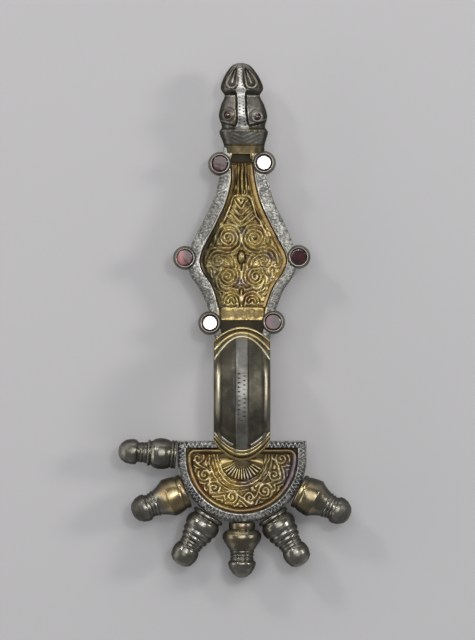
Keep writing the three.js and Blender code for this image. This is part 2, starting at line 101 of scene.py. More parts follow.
def blurred(values, times, wrap):
    # evens a grid of values out along both of its directions
    for _ in range(times):
        first = np.roll(values, 1, 0) + np.roll(values, -1, 0)
        if not wrap[0]:
            first[0] = 2 * values[1]
            first[-1] = 2 * values[-2]
        second = np.roll(values, 1, 1) + np.roll(values, -1, 1)
        if not wrap[1]:
            second[:, 0] = 2 * values[:, 1]
            second[:, -1] = 2 * values[:, -2]
        values = 0.5 * values + 0.125 * (first + second)
    return values


def hollowness(z, times, wrap, reach):
    # above 0 in the hollows of a grid of heights, below 0 on its crests
    return np.clip((blurred(z, times, wrap) - z) / reach, -1, 1)


def gridFaces(rows, columns, closeColumns=False):
    # faces over rows x columns points; they look up when columns run along X and rows along Y
    faces = []
    last = columns if closeColumns else columns - 1
    for r in range(rows - 1):
        base = r * columns
        for c in range(last):
            n = (c + 1) % columns
            faces.append((base + c, base + n, base + columns + n, base + columns + c))
    return faces


def flipped(faces):
    return [tuple(reversed(f)) for f in faces]


def shell(points, faces, **marks):
    points = np.asarray(points, float).reshape(-1, 3)
    filled = {name: np.zeros(len(points)) for name in markNames}
    for name, value in marks.items():
        filled[name] = np.broadcast_to(np.asarray(value, float).reshape(-1), len(points)).copy()
    return {"points": points, "faces": faces, "marks": filled}


def wallShell(loops, **marks):
    # the edge of a plate: loops of points from its top down to its back
    faces = flipped(gridFaces(len(loops), len(loops[0]), closeColumns=True))
    return shell(np.concatenate(loops), faces, **marks)


def flatBack(loop, pairs):
    # closes the last loop of an edge; the loop runs up one side and down the other
    count = len(loop)
    faces = [(i, count - 1 - i, count - 2 - i, i + 1) for i in range(pairs - 1)]
    return shell(loop, faces, **plainSide)


def pieceFrom(name, shells, material, nodes, body, creaseDegrees=50):
    points = np.concatenate([s["points"] for s in shells]) * mm
    faces = []
    start = 0
    for s in shells:
        faces += [tuple(i + start for i in f) for f in s["faces"]]
        start += len(s["points"])
    mesh = bpy.data.meshes.new(name)
    mesh.from_pydata(points.tolist(), [], faces)
    for mark in markNames:
        values = np.concatenate([s["marks"][mark] for s in shells])
        layer = mesh.attributes.new(mark, "FLOAT", "POINT")
        layer.data.foreach_set("value", values.astype(np.float32))
    mesh.validate()
    mesh.shade_smooth()
    mesh.set_sharp_from_angle(angle=math.radians(creaseDegrees))
    mesh.materials.append(material)
    piece = bpy.data.objects.new(name, mesh)
    bpy.context.scene.collection.objects.link(piece)
    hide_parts(*nodes)
    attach(piece, body)
    triangles = sum(len(f) - 2 for f in faces)
    print(f"{name}: {triangles} triangles")
    return piece


def lathe(profile, sides, wobble=0.0, seed=1, size=3.0):
    # profile of [radius, height]; the axis is Z and the mesh is closed at both ends
    profile = np.asarray(profile, float)
    angles = np.linspace(0, 2 * np.pi, sides, endpoint=False)
    radius = profile[:, 0][:, None] * np.ones(sides)
    height = profile[:, 1][:, None] * np.ones(sides)
    if wobble:
        girth = np.cos(angles) * 4
        girthOther = np.sin(angles) * 4
        radius = radius * (1 + wobble * unevenness(girth + height, girthOther + 0.7 * height, size, seed))
    points = np.stack([radius * np.cos(angles), radius * np.sin(angles), height], -1)
    return points, gridFaces(len(profile), sides, closeColumns=True)


def smoothTurned(profile, spacing):
    # more points along a turned profile, with its corners kept but a little softened
    profile = np.asarray(profile, float)
    dense = []
    for a, b in zip(profile[:-1], profile[1:]):
        steps = max(1, int(round(np.linalg.norm(b - a) / spacing)))
        for i in range(steps):
            dense.append(a + (b - a) * i / steps)
    dense.append(profile[-1])
    dense = np.array(dense)
    for _ in range(2):
        dense[1:-1] = 0.5 * dense[1:-1] + 0.25 * (dense[:-2] + dense[2:])
    dense[:, 0] = np.maximum(dense[:, 0], 0.002)
    return dense


def tube(path, radii, sides):
    # a round wire along a path, closed at its ends
    path = np.asarray(path, float)
    radii = np.broadcast_to(np.asarray(radii, float), len(path))
    along = np.gradient(path, axis=0)
    along = along / np.linalg.norm(along, axis=1, keepdims=True)
    normal = np.cross(along[0], (0.3, 0.2, 1.0))
    points = []
    for i in range(len(path)):
        normal = normal - along[i] * np.dot(normal, along[i])
        normal = normal / np.linalg.norm(normal)
        other = np.cross(along[i], normal)
        for a in np.linspace(0, 2 * np.pi, sides, endpoint=False):
            points.append(path[i] + radii[i] * (math.cos(a) * normal + math.sin(a) * other))
    faces = gridFaces(len(path), sides, closeColumns=True)
    faces.append(tuple(range(sides))[::-1])
    faces.append(tuple(range((len(path) - 1) * sides, len(path) * sides)))
    return points, faces


# the carving is drawn as lines, and its ridges follow them
def flowing(points, steps=8):
    # a smooth line through a few points
    points = np.asarray(points, float)
    before = np.vstack([2 * points[0] - points[1], points[:-1]])
    after = np.vstack([points[1:], 2 * points[-1] - points[-2]])
    tangents = (after - before) / 2
    line = []
    for i in range(len(points) - 1):
        for t in np.arange(steps) / steps:
            h = (2 * t**3 - 3 * t**2 + 1, t**3 - 2 * t**2 + t, 3 * t**2 - 2 * t**3, t**3 - t**2)
            line.append(h[0] * points[i] + h[1] * tangents[i] + h[2] * points[i + 1] + h[3] * tangents[i + 1])
    line.append(points[-1])
    return np.array(line)


def spiral(centre, outer, startAngle, turns, inner):
    steps = max(12, int(abs(turns) * 22))
    t = np.linspace(0, 1, steps)
    angle = np.radians(startAngle + turns * 360 * t)
    radius = outer + (inner - outer) * t
    return np.stack([centre[0] + radius * np.cos(angle), centre[1] + radius * np.sin(angle)], -1)


def arc(centre, radius, fromAngle, toAngle):
    angle = np.radians(np.linspace(fromAngle, toAngle, 20))
    return np.stack([centre[0] + radius * np.cos(angle), centre[1] + radius * np.sin(angle)], -1)


def mirrored(path, middle):
    path = np.array(path, float)
    path[:, 0] = 2 * middle - path[:, 0]
    return path


def nearTo(path, reach, x, y):
    low = path.min(0) - reach
    high = path.max(0) + reach
    return (x > low[0]) & (x < high[0]) & (y > low[1]) & (y < high[1])


def nearestPath(x, y, paths, reach):
    # distance to the closest of the paths, up to a reach
    best = np.full(x.shape, float(reach))
    for path in paths:
        path = np.asarray(path, float)
        near = nearTo(path, reach, x, y)
        if not near.any():
            continue
        px = x[near]
        py = y[near]
        found = best[near]
        for (ax, ay), (bx, by) in zip(path[:-1], path[1:]):
            dx, dy = bx - ax, by - ay
            t = np.clip(((px - ax) * dx + (py - ay) * dy) / max(dx * dx + dy * dy, 1e-9), 0, 1)
            found = np.minimum(found, np.hypot(px - ax - t * dx, py - ay - t * dy))
        best[near] = found
    return best


def echoed(distance, pitch, flat):
    # worn ridges on a path and at even distances beside it: 1 on a crest, 0 in a groove
    q = 2 * np.abs((distance / pitch + 0.5) % 1 - 0.5)
    return 1 - rise(flat, 1.0, q)


def carve(x, y, ground, lines):
    # the highest of all lines at each place; a line is a path, its half width and its height
    height = np.zeros_like(x)
    for path, half, tall in lines:
        near = nearTo(path, half, x, y)
        if not near.any():
            continue
        px = x[near]
        py = y[near]
        best = np.full(px.shape, 1e9)
        where = np.zeros(px.shape)
        count = len(path) - 1
        for i in range(count):
            ax, ay = path[i]
            dx, dy = path[i + 1] - path[i]
            t = np.clip(((px - ax) * dx + (py - ay) * dy) / max(dx * dx + dy * dy, 1e-9), 0, 1)
            d = np.hypot(px - ax - t * dx, py - ay - t * dy)
            closer = d < best
            best[closer] = d[closer]
            where[closer] = (i + t[closer]) / count
        ends = 0.55 + 0.45 * np.clip(np.minimum(where, 1 - where) * 8, 0, 1)
        crest = np.clip(1 - (best / half) ** 1.35, 0, 1)
        height[near] = np.maximum(height[near], tall * ends * crest)
    return ground + height


# head plate: rings of points round the middle of its half circle
headPlate = {
    "radius": 18.8, "shoulder": 4.96,                 # a half circle, with straight sides above it
    "fieldRadius": 16.35, "fieldTop": 3.05,           # the gilded field inside the border
    "fieldRings": 76, "anglesBetween": (6, 312, 6, 34),
    "scrollPitch": 0.99, "scrollHeight": 0.66, "scrollFlat": 0.36,
    "fanRadius": 7.0, "fanFrom": 2.9, "ribPitch": 9.6, "ribHeight": 0.7,
    "rimAt": 1.0, "rimHalf": 0.82, "rimHeight": 1.25, "rimEnd": 1.8, "reliefFrom": 2.0,
    "patternStep": 1.24,                              # length of one zigzag of the inlay
    # each scroll: middle, radius, angle of its start, turns inwards
    "scrolls": [
        ((-12.8, -0.1), 2.3, 200, -1.7), ((-10.9, -4.9), 2.0, 150, 1.6), ((-8.0, -8.8), 2.1, 170, -1.7),
        ((-3.0, -11.4), 1.9, 240, 1.6), ((2.3, -11.5), 1.9, 300, -1.6), ((6.7, -9.6), 2.2, 20, 1.8),
        ((9.4, -5.0), 2.1, 60, -1.6), ((11.6, -0.2), 2.4, 330, 1.8),
    ],
    # long stems between the scrolls and the fan
    "stems": [
        [(-8.2, 1.8), (-7.4, -2.2), (-6.2, -4.8), (-4.7, -6.7), (-2.6, -7.9), (-0.3, -8.2), (2.3, -7.8),
         (4.7, -6.2), (6.4, -3.9), (7.6, -1.2), (7.9, 1.8)],
        [(-9.8, 1.6), (-9.0, -3.0), (-6.6, -7.4), (-3.6, -9.3), (-1.0, -9.6), (2.0, -9.2)],
        [(9.0, 1.8), (8.4, -2.4), (6.6, -6.4), (3.9, -8.4)],
    ],
}


def edgeDistance(angle, radius, top):
    # from the middle out to a half circle that goes on straight up to a level top
    c = np.abs(np.cos(angle))
    s = np.sin(angle)
    side = np.where(s > 0, radius / np.maximum(c, 1e-6), radius)
    upper = np.where(s > 0, top / np.maximum(s, 1e-6), 1e9)
    return np.minimum(side, upper)


def headPaths():
    scrolls = headPlate["scrolls"]
    paths = [flowing(stem) for stem in headPlate["stems"]]
    for centre, radius, startAngle, turns in scrolls:
        paths.append(spiral(centre, radius, startAngle, turns, 0.2))
    # short links from scroll to scroll, from an outer side to an inner side and back
    for i in range(len(scrolls) - 1):
        (ax, ay), radiusA = scrolls[i][:2]
        (bx, by), radiusB = scrolls[i + 1][:2]
        outA = math.hypot(ax, ay)
        outB = math.hypot(bx, by)
        sign = 1 if i % 2 == 0 else -1
        start = (ax * (1 + sign * radiusA / outA), ay * (1 + sign * radiusA / outA))
        end = (bx * (1 - sign * radiusB / outB), by * (1 - sign * radiusB / outB))
        paths.append(flowing([start, (0.5 * (ax + bx), 0.5 * (ay + by)), end]))
    return paths


def headFan(x, y, ground):
    # ribs below the bow, petals beside them and a ridge round both
    fromMiddle = np.hypot(x, y)
    spoke = np.degrees(np.arctan2(x + 0.1, -y)) + 2.0 * unevenness(x, y, 5, 15)
    ribHere = rise(headPlate["fanFrom"], 3.4, fromMiddle) * rise(6.5, 6.2, fromMiddle)
    ribHere = ribHere * rise(66, 60, np.abs(spoke))
    petal = rise(62, 70, np.abs(spoke)) * 0.45 * np.abs(np.sin(np.radians(spoke * 6)))
    fan = ground + headPlate["ribHeight"] * echoed(spoke, headPlate["ribPitch"], 0.3) * ribHere + petal
    fan = np.maximum(fan, ground + 0.75 * bump(headPlate["fanRadius"], 0.42, np.hypot(x + 0.2, y)))
    return fan + 0.5 * rise(headPlate["fanFrom"], 1.2, fromMiddle)         # a fillet up to the bow


def ringOf(angles, reach, height):
    return np.stack([reach * np.cos(angles), reach * np.sin(angles), np.full(len(angles), height)], -1)


def headPlateShells():
    radius = headPlate["radius"]
    shoulder = headPlate["shoulder"]
    cornerOuter = math.atan2(shoulder, radius)
    cornerField = math.atan2(headPlate["fieldTop"], headPlate["fieldRadius"])
    stops = (math.pi - cornerOuter, math.pi - cornerField, 2 * math.pi + cornerField,
             2 * math.pi + cornerOuter, 3 * math.pi - cornerOuter)
    parts = zip(stops[:-1], stops[1:], headPlate["anglesBetween"])
    angles = np.concatenate([np.linspace(low, high, count)[:-1] for low, high, count in parts])
    outer = edgeDistance(angles, radius, shoulder)
    fieldEdge = edgeDistance(angles, headPlate["fieldRadius"], headPlate["fieldTop"])
    fieldRings = np.concatenate([np.linspace(0.02, 0.2, 4)[:-1],
                                 np.linspace(0.2, 1, headPlate["fieldRings"])])
    borderRings = np.array([0.05, 0.11, 0.3, 0.6, 0.84, 0.94, 1.0])
    r = np.concatenate([fieldRings[:, None] * fieldEdge,
                        fieldEdge + borderRings[:, None] * (outer - fieldEdge)])
    x = r * np.cos(angles)
    y = r * np.sin(angles)
    fromSide = np.where(y < 0, radius - np.hypot(x, y), radius - np.abs(x))
    inside = np.minimum(fromSide, shoulder - y)
    # below 0 on the border
    fieldIn = np.minimum(fromSide - plate["borderWidth"], headPlate["fieldTop"] - y)
    fromMiddle = np.hypot(x, y)

    # scrolls, and the fan in front of the bow
    ground = plate["floor"] + 0.06 * unevenness(x, y, 2.6, 4)
    wavedX = x + 0.12 * unevenness(x, y, 3, 11)
    wavedY = y + 0.12 * unevenness(x, y, 3, 12)
    fromLines = nearestPath(wavedX, wavedY, headPaths(), 3.2)
    crest = blurred(echoed(fromLines, headPlate["scrollPitch"], headPlate["scrollFlat"]), 1, (False, True))
    scroll = ground + (headPlate["scrollHeight"] + 0.1 * unevenness(x, y, 1.7, 14)) * crest
    inFan = fromMiddle * (1 + 0.12 * (np.abs(x) / headPlate["fanRadius"]) ** 2) < headPlate["fanRadius"]
    relief = np.where(inFan, headFan(x, y, ground), scroll)

    # a groove, then a rounded gilded rim, inside the border; the field's upper corners are rounded
    cornerX = np.maximum(np.abs(x) - 13.6, 0)
    cornerY = np.maximum(y - 0.3, 0)
    rounded = np.where((cornerX > 0) & (cornerY > 0), 2.75 - np.hypot(cornerX, cornerY), fieldIn)
    rimIn = np.minimum(fieldIn, rounded) + 0.05 * unevenness(x, y, 4, 21)
    fromRim = rimIn - headPlate["rimAt"]
    rim = headPlate["rimHeight"] * np.clip(1 - np.abs(fromRim / headPlate["rimHalf"]) ** 3, 0, 1)
    rim = rim - 0.12 * fromRim
    carved = rimIn > headPlate["reliefFrom"]
    field = np.where(carved, relief, ground + np.clip(rim, 0, 2))
    groove = ground + 0.35 + 1.2 * (1 - rise(0, 0.28, fieldIn))
    field = np.where(rimIn < 0.5, np.maximum(field, groove), field)
    rounding = plate["edgeDrop"] * (1 - rise(0, plate["edgeRound"], inside)) ** 2
    border = plate["top"] - rounding + 0.03 * unevenness(x, y, 5, 31)
    border = border - 0.12 * bump(0.32, 0.13, inside) + 0.06 * bump(plate["borderWidth"] - 0.22, 0.25, inside)
    z = np.where(fieldIn <= 0.02, border, field)

    # what the material reads
    onBorder = fieldIn <= 0.05
    onRim = ~onBorder & (rimIn < headPlate["rimEnd"])
    # hollows darken with depth (dirt and painted shade) and crests lighten (wear and painted highlight); the
    # grooves beside the rim are set dark as painted shade
    hollow = np.where(carved, 0.58 - 1.5 * (z - plate["floor"]) / 0.74, hollowness(z, 5, (False, True), 0.5))
    besideRim = (fieldIn > 0.02) & (rimIn < 0.2) | (rimIn > headPlate["rimEnd"]) & (rimIn < 1.98)
    hollow = np.clip(np.where(besideRim, 0.6, hollow), -1, 1)
    turned = radius * (angles - 1.5 * math.pi)[None, :] + 0 * x
    sideways = np.sign(x) * (radius * 0.5 * math.pi + y)
    run = np.where(y < 0, turned, np.where(radius - np.abs(x) < shoulder - y, sideways, x))
    across = (inside - 0.5 * plate["borderWidth"]) / (0.5 * plate["borderWidth"])
    tint = unevenness(x, y, 9, 41) + 0.5 * rise(-3, 10, x)
    # painted shade: the field and the rim darken towards the right side, and the field darkens round the foot
    # of the bow
    dark = 0.3 * rise(-2, 12, x) + 0.1 + 0.6 * rise(3.0, 2.5, fromMiddle)
    dark = np.where(onBorder, 0.25, dark)
    dark = np.where(onRim, 0.30 + 0.2 * rise(4, 14, x), dark)
    top = shell(np.stack([x, y, z], -1), flipped(gridFaces(len(r), len(angles), closeColumns=True)),
                gild=np.where(onBorder, 0.0, 1.0), inlay=onBorder, run=run / headPlate["patternStep"],
                across=across, hollow=hollow, tint=np.where(onRim, tint + 0.35, tint), dark=dark,
                worn=0.02 + 0.3 * unevenness(x, y, 10, 42))

    # edge and back
    wall = [np.stack([x[-1], y[-1], z[-1]], -1)]
    for height, grow in plate["wall"]:
        wall.append(ringOf(angles, outer + grow, height))
    back = [wall[-1]]
    for part in (0.8, 0.55, 0.3, 0.05):
        back.append(ringOf(angles, outer * part, 0.0))
    return [top, wallShell(wall, **plainSide), wallShell(back, **plainSide)]


# foot plate: rows across it, with columns that follow its outline
footPlate = {
    "from": 33.4, "to": 90.4,                         # from under the bow to under the animal head
    "axis": -0.15,                                    # the carving is drawn about this line
    "scrollPitch": 1.0, "scrollHeight": 0.95, "scrollFlat": 0.34,
    "fluteFrom": 76.9,                                # flutes above this height, scrolls below it
    "dropAt": 58.5, "dropHeight": 1.25,               # the boss between the spirals
    "ridge": 0.5, "slopeTo": 2.6, "slopeDepth": 1.25,     # inside the border, down to the ground
    "stepTo": 40.1, "stepHalf": 6.6,                  # sunk step under the bow
    "hammeredTo": 43.9, "carvedTo": 85.4, "inlayTo": 87.5,
    "blockFrom": 86.0, "blockTo": 88.5,               # recessed block below the animal head
    "patternStep": 0.9375,
    "carvingShift": 0.72, "borderShift": 0.75,        # the two sides aren't quite alike
    "outline": [
        (33.4, 7.9), (39, 9), (44, 10.2), (49, 12.2), (53, 14.9), (57, 16.1), (61, 15.3),
        (69.4, 11.1), (75.2, 8.4), (81, 6.9), (89.8, 5.8),
    ],
    # from the edge inwards, before the even middle columns
    "columnSteps": (0, 0.12, 0.32, 1.2, 2.1, 2.34, 2.46, 2.6, 2.74, 2.88, 3.02, 3.16, 3.35, 3.7, 4.1, 4.5,
                    4.9),
    # top, bottom and reach of each chevron
    "chevrons": ((75.1, 72.6, 1.9), (73.4, 70.7, 2.6), (71.8, 69.0, 3.2), (70.2, 67.5, 3.8)),
    # where each flute starts and ends across the plate
    "flutes": ((-2.75, -1.9), (-1.25, -0.95), (0.1, 0.0), (1.4, 0.95), (2.9, 1.9)),
}
footHalfWidth = smoothProfile(footPlate["outline"])


def footPaths():
    # right-hand lines, then their mirrored copies
    both = [
        # frame of the chevron panel
        flowing([(-0.15, 76.7), (1.5, 76.5), (2.6, 75.7), (3.4, 73), (4.2, 70.6), (5.2, 68.9), (6.3, 66.8),
                 (7.3, 64.4), (7.9, 62.6)]),
        # large spirals, each unwinding into a tail along the field's lower side
        spiral((3.7, 64.1), 2.95, -90, -2.6, 0.35),
        flowing([(10.7, 56.6), (10.3, 58.9), (8.7, 60.9), (6.5, 61.4), (4.9, 61.1), (3.7, 61.15)]),
        flowing([(7.8, 62.6), (7.4, 65.2), (5.9, 67.3), (3.6, 68.05), (1.4, 67.3), (0.3, 65.4), (0.1, 63.0),
                 (0.9, 61.2), (2.5, 60.2), (4.5, 60.0), (6.5, 60.4), (8.3, 59.7), (9.4, 58.1)]),
        # small spirals at the widest part
        spiral((6.5, 57.4), 1.9, 110, -1.75, 0.3),
        flowing([(5.85, 59.2), (4.3, 58.7), (2.9, 57.4), (2.4, 55.9)]),
        # lower spirals, the bars beside them and the arches above the lower edge
        spiral((4.0, 52.9), 2.5, 20, 2.1, 0.3),
        flowing([(6.35, 53.75), (7.2, 51.6), (6.5, 49.4), (4.6, 48.3)]),
        flowing([(8.9, 54.8), (8.4, 51.4), (7.2, 48.6)]),
        arc((2.9, 45.6), 0.95, 0, 180),
        arc((2.9, 45.6), 2.8, 0, 180),
    ]
    paths = both + [mirrored(path, footPlate["axis"]) for path in both]
    for top, bottom, reach in footPlate["chevrons"]:
        knee = 0.45 * top + 0.55 * bottom
        paths.append(flowing([(-0.3 - reach, top), (-0.3 - 0.5 * reach, knee), (-0.4, bottom),
                              (-0.3 + 0.5 * reach, knee), (-0.1 + reach, top)], 5))
    paths.append(flowing([(footPlate["axis"], 44), (footPlate["axis"], 48.8)]))
    return paths


def footFlutes():
    flutes = []
    for low, high in footPlate["flutes"]:
        flutes.append((flowing([(low, 77.2), (0.5 * (low + high), 80.5), (high, 85.2)]), 0.56, 1.3))
    return flutes


def footRelief(x, y):
    # scrolls, chevrons, the boss and the flutes above the sunk ground
    ground = plate["floor"] + 0.07 * unevenness(x, y, 2.4, 54)
    wavedX = x + 0.12 * unevenness(x, y, 3.2, 55)
    wavedY = y + 0.12 * unevenness(x, y, 3.2, 56)
    fromLines = nearestPath(wavedX, wavedY, footPaths(), 3.6)
    crest = blurred(echoed(fromLines, footPlate["scrollPitch"], footPlate["scrollFlat"]), 2, (False, False))
    relief = ground + (footPlate["scrollHeight"] + 0.1 * unevenness(x, y, 1.8, 59)) * crest
    drop = np.hypot((x - footPlate["axis"]) / 1.05, (y - footPlate["dropAt"]) / 1.75)
    boss = ground + footPlate["dropHeight"] * np.sqrt(np.clip(1 - drop**2, 0, 1))
    relief = np.where(drop < 1.25, boss, relief)
    return np.where(y > footPlate["fluteFrom"], carve(wavedX, y, ground, footFlutes()), relief)


def footSides(side, points, grow, height):
    # one loop round the plate: up its right side and down its left side
    loop = []
    for column, way in ((-1, 1), (0, -1)):
        x, y, z = points[side, column].T
        loop.append(np.stack([x + way * grow, y, z if height is None else np.full(len(y), height)], -1))
    return np.concatenate([loop[0], loop[1][::-1]])


def footPlateShells():
    ys = np.linspace(footPlate["from"], footPlate["to"], 268)
    half = footHalfWidth(ys)
    slope = (footHalfWidth(ys + 0.25) - footHalfWidth(ys - 0.25)) / 0.5
    stretch = np.hypot(1, slope)
    steps = np.array(footPlate["columnSteps"])
    limit = (half - 1.4) / (steps[-1] * stretch)
    sideOffsets = steps[None, :] * stretch[:, None] * np.minimum(limit, 1)[:, None]
    right = half[:, None] - sideOffsets
    middle = right[:, -1:] * np.linspace(1, -1, 92)[None, 1:-1]
    x = np.concatenate([right, middle, -right[:, ::-1]], 1)[:, ::-1]
    y = ys[:, None] + 0 * x
    ax = np.abs(x)
    # true distance inside the outline
    fine = np.linspace(footPlate["from"] - 3, footPlate["to"] + 3, 500)
    inside = np.full(x.shape, 1e9)
    for outlineX, outlineY in zip(footHalfWidth(fine), fine):
        inside = np.minimum(inside, np.hypot(ax - outlineX, y - outlineY))
    wave = 0.05 * unevenness(x, y, 5, 51)
    d = inside - plate["borderWidth"] + wave                # below 0 on the border

    # thin ridge, narrow groove, then a broad slope down to the carved ground
    relief = footRelief(x, y)
    slopeDown = plate["floor"] + footPlate["slopeDepth"] * (1 - rise(0.7, footPlate["slopeTo"], d))
    slopeDown = slopeDown - 0.4 * bump(0.66, 0.2, d) + 0.5 * bump(0.28, 0.3, d)
    slopeDown = slopeDown - 0.12 * (bump(1.3, 0.13, d) + bump(1.72, 0.13, d)) * (x < 0)
    broadSlope = 2.05 + 0.25 * rise(66, 74, y)
    carved = np.where(d < broadSlope, slopeDown, np.maximum(relief, slopeDown))
    border = plate["top"] - plate["edgeDrop"] * (1 - rise(0, plate["edgeRound"], inside)) ** 2 + wave
    border = border - 0.1 * bump(0.3, 0.12, inside)

    # upper end: a recessed block between two ledges
    blockSide = 0.25 * (footPlate["blockTo"] - y)
    block = (y > footPlate["blockFrom"]) & (y < footPlate["blockTo"])
    block = block & (x > -2.9 - blockSide) & (x < 2.2 + blockSide)
    ledge = plate["top"] + 0.25 - 0.25 * rise(footPlate["blockTo"], footPlate["blockFrom"] + 0.5, y)
    upperPart = np.where(block, plate["top"] - 1.0, ledge)
    upperPart = np.where(y > footPlate["blockFrom"], upperPart, carved) + 0.5 * bump(85.9, 0.35, y)

    # lower end: hammered slope, then a step under the bow
    hammering = 0.06 * unevenness(x, y, 1.6, 57) + 0.03 * unevenness(x, y, 0.9, 60)
    lowerSlope = plate["top"] - 0.15 - 1.25 * rise(40.2, footPlate["hammeredTo"], y) + hammering
    lowerStep = plate["top"] - 0.9 + 0.04 * unevenness(x, y, 2, 58)
    lowerPart = np.where(y > footPlate["stepTo"], lowerSlope, lowerStep)
    lowerPart = np.where(ax < footPlate["stepHalf"], lowerPart, plate["top"] - 0.1)
    inner = np.where(y > footPlate["carvedTo"], upperPart, carved)
    inner = np.where(y < footPlate["hammeredTo"], lowerPart, inner)
    blend = rise(-0.05, 0.05, d)
    z = border * (1 - blend) + inner * blend

    # what the material reads
    onBorder = d <= 0.02
    inField = (y > footPlate["hammeredTo"]) & (y < footPlate["carvedTo"])
    onRidge = (d > -0.05) & (d < footPlate["ridge"])
    ridgeRun = (y > 43.5) & (y < footPlate["blockFrom"])
    underBow = (y < footPlate["stepTo"]) & (ax < footPlate["stepHalf"])
    leftSlope = (x < 0) & (d > 0.6) & (d < 2.4)
    rightSlope = (x > 0) & (d > 0.75) & (d < 2.3)
    sunk = (block | (y < 40.0)) & (d > 0) & (ax < footPlate["stepHalf"])
    carvedHere = (d > broadSlope) & inField & (relief >= slopeDown - 0.02)
    # hollows darken (dirt and painted shade) and crests lighten (wear and painted highlight); the groove
    # inside the ridge is dark and the ridge pale; the sunk block and the step under the bow are darkened as
    # painted shade
    hollow = hollowness(z, 5, (False, False), 0.5)
    hollow = np.where(carvedHere, 1 - 2.0 * (z - plate["floor"]) / 0.85, hollow)
    hollow = np.where((d > footPlate["ridge"]) & (d < 0.8), 1.0, hollow)
    hollow = np.clip(np.where(onRidge, -0.9, hollow), -1, 1)
    hollow = np.where(sunk, 0.62, hollow)
    across = (inside - 0.5 * plate["borderWidth"]) / (0.5 * plate["borderWidth"])
    gild = np.where(onBorder | (d < footPlate["ridge"]) & ridgeRun, 0.0, 1.0)
    # painted light on the slopes: the left slope and the step under the bow are redder and darker as painted
    # shade, and the right slope is warm and undarkened as if lit; the field darkens towards its left side and
    # the recessed block is dark, as painted shade
    tint = unevenness(x, y, 9, 61)
    tint = np.where(leftSlope, tint + 0.6, tint)
    tint = np.where(rightSlope, 0.35, tint)
    tint = np.where(underBow, 1.2, tint)
    dark = 0.15 + 0.45 * rise(-4, -9, x) * (d > 0)
    dark = np.where(leftSlope, dark + 0.3, dark)
    dark = np.where(rightSlope, 0.0, dark)
    dark = np.where(underBow, 0.75, dark)
    dark = np.where(block & (d > 0), 0.85, dark)
    dark = np.where(onRidge & ridgeRun, 0.0, dark)
    dark = np.clip(np.where(onBorder, 0.42, dark), 0, 1)
    run = y / footPlate["patternStep"] + 0.5 * (x > 0)

    # the carving sits a little to the right, and the right border is wider towards the neck
    edge = half[:, None] + 0 * x
    taller = rise(40, 52, y) * rise(86, 80, y)
    leftShare = rise(-edge, -edge + 2.3, x) * rise(-edge + 6.2, -edge + 3.2, x)
    x = x + footPlate["carvingShift"] * taller * leftShare
    x = x + footPlate["borderShift"] * rise(60, 68, y) * rise(86, 80, y) * rise(edge - 2.5, edge, x)
    points = np.stack([x, y, z], -1)
    top = shell(points, gridFaces(*x.shape), gild=gild, inlay=onBorder & (y < footPlate["inlayTo"]), run=run,
                across=across, hollow=hollow, tint=tint, dark=dark,
                worn=0.62 + 0.15 * unevenness(x, y, 8, 62))

    # edge and back
    side = slice(0, len(ys), 2)
    loops = [footSides(side, points, 0.0, None)]
    for height, grow in plate["wall"]:
        loops.append(footSides(side, points, grow, height))
    return [top, wallShell(loops, **plainSide), flatBack(loops[-1], len(ys[side]))]


# bow: a grid over its arch, with ribs at both landings
bow = {
    "halfWidth": 8.16, "start": -0.4, "end": 37.9, "height": 17.0, "landing": 0.5, "band": 2.5,
    "startSweep": 5.6, "endSweep": 4.0,               # how far the landings curve back at the sides
    # beads round both landings: gap to the end line, extra sweep at the sides, radius, gilding
    "startBeads": ((0.2, 0.0, 0.62, 1.0), (1.7, 0.0, 0.46, 1.0), (2.75, 0.0, 0.34, 0.7)),
    "endBeads": ((0.15, 0.0, 0.52, 1.0), (1.45, 1.2, 0.44, 1.0), (2.5, 3.0, 0.36, 0.7)),
    "ribs": (-0.984, -0.93, -0.872, 0.90, 0.945, 0.985), "ribHeight": 0.15, "ribWidth": 0.46,
    "stripMiddle": -0.1, "stripHalf": 1.62, "dotsHalf": 0.36,       # silver band along the crest
    # the bright line inside each edge near the crown is a painted highlight, and the pale bars are painted
    # highlights too
    "flangeAt": 6.8, "flangeHalf": 0.62,              # bright line inside each edge
    "barFrom": 2.5, "barTo": 6.9, "barRadius": 0.62,  # pale bars inside the lower beads
    "underside": (-6.5, -4.2, -2, 0, 2, 4.2, 6.5),
    # how far the surface drops below its crest, from the middle to the edge
    "section": [
        (0, 0), (1.0, 0.03), (1.5, 0.09), (1.7, 0.22), (1.88, 0.72), (2.05, 1.0), (2.4, 1.02), (3.4, 1.4),
        (4.4, 1.82), (5.3, 2.22), (5.9, 2.52), (6.12, 2.58), (6.35, 2.3), (6.6, 2.06), (6.95, 1.98),
        (7.35, 2.16), (7.9, 2.8), (8.16, 3.4),
    ],
}
bowSection = smoothProfile(bow["section"])


def archRise(t):
    return np.sqrt(np.maximum(1 - np.abs(t) ** 2.3, 0))


def bowEnds(x):
    # the curved lines where the bow starts and ends
    share = (x / bow["halfWidth"]) ** 2
    return bow["start"] + bow["startSweep"] * share, bow["end"] - bow["endSweep"] * share


def bowSurface(x, t):
    # t runs from -1 at the start line to 1 at the end line
    start, end = bowEnds(x)
    up = archRise(t)
    z = bow["landing"] + (bow["height"] - bow["landing"]) * up - bowSection(np.abs(x)) * up
    return (start + end) / 2 + t * (end - start) / 2, z


def bowHeightAt(x, y, limit):
    start, end = bowEnds(x)
    return bowSurface(x, np.clip((2 * y - start - end) / (end - start), -limit, limit))[1]


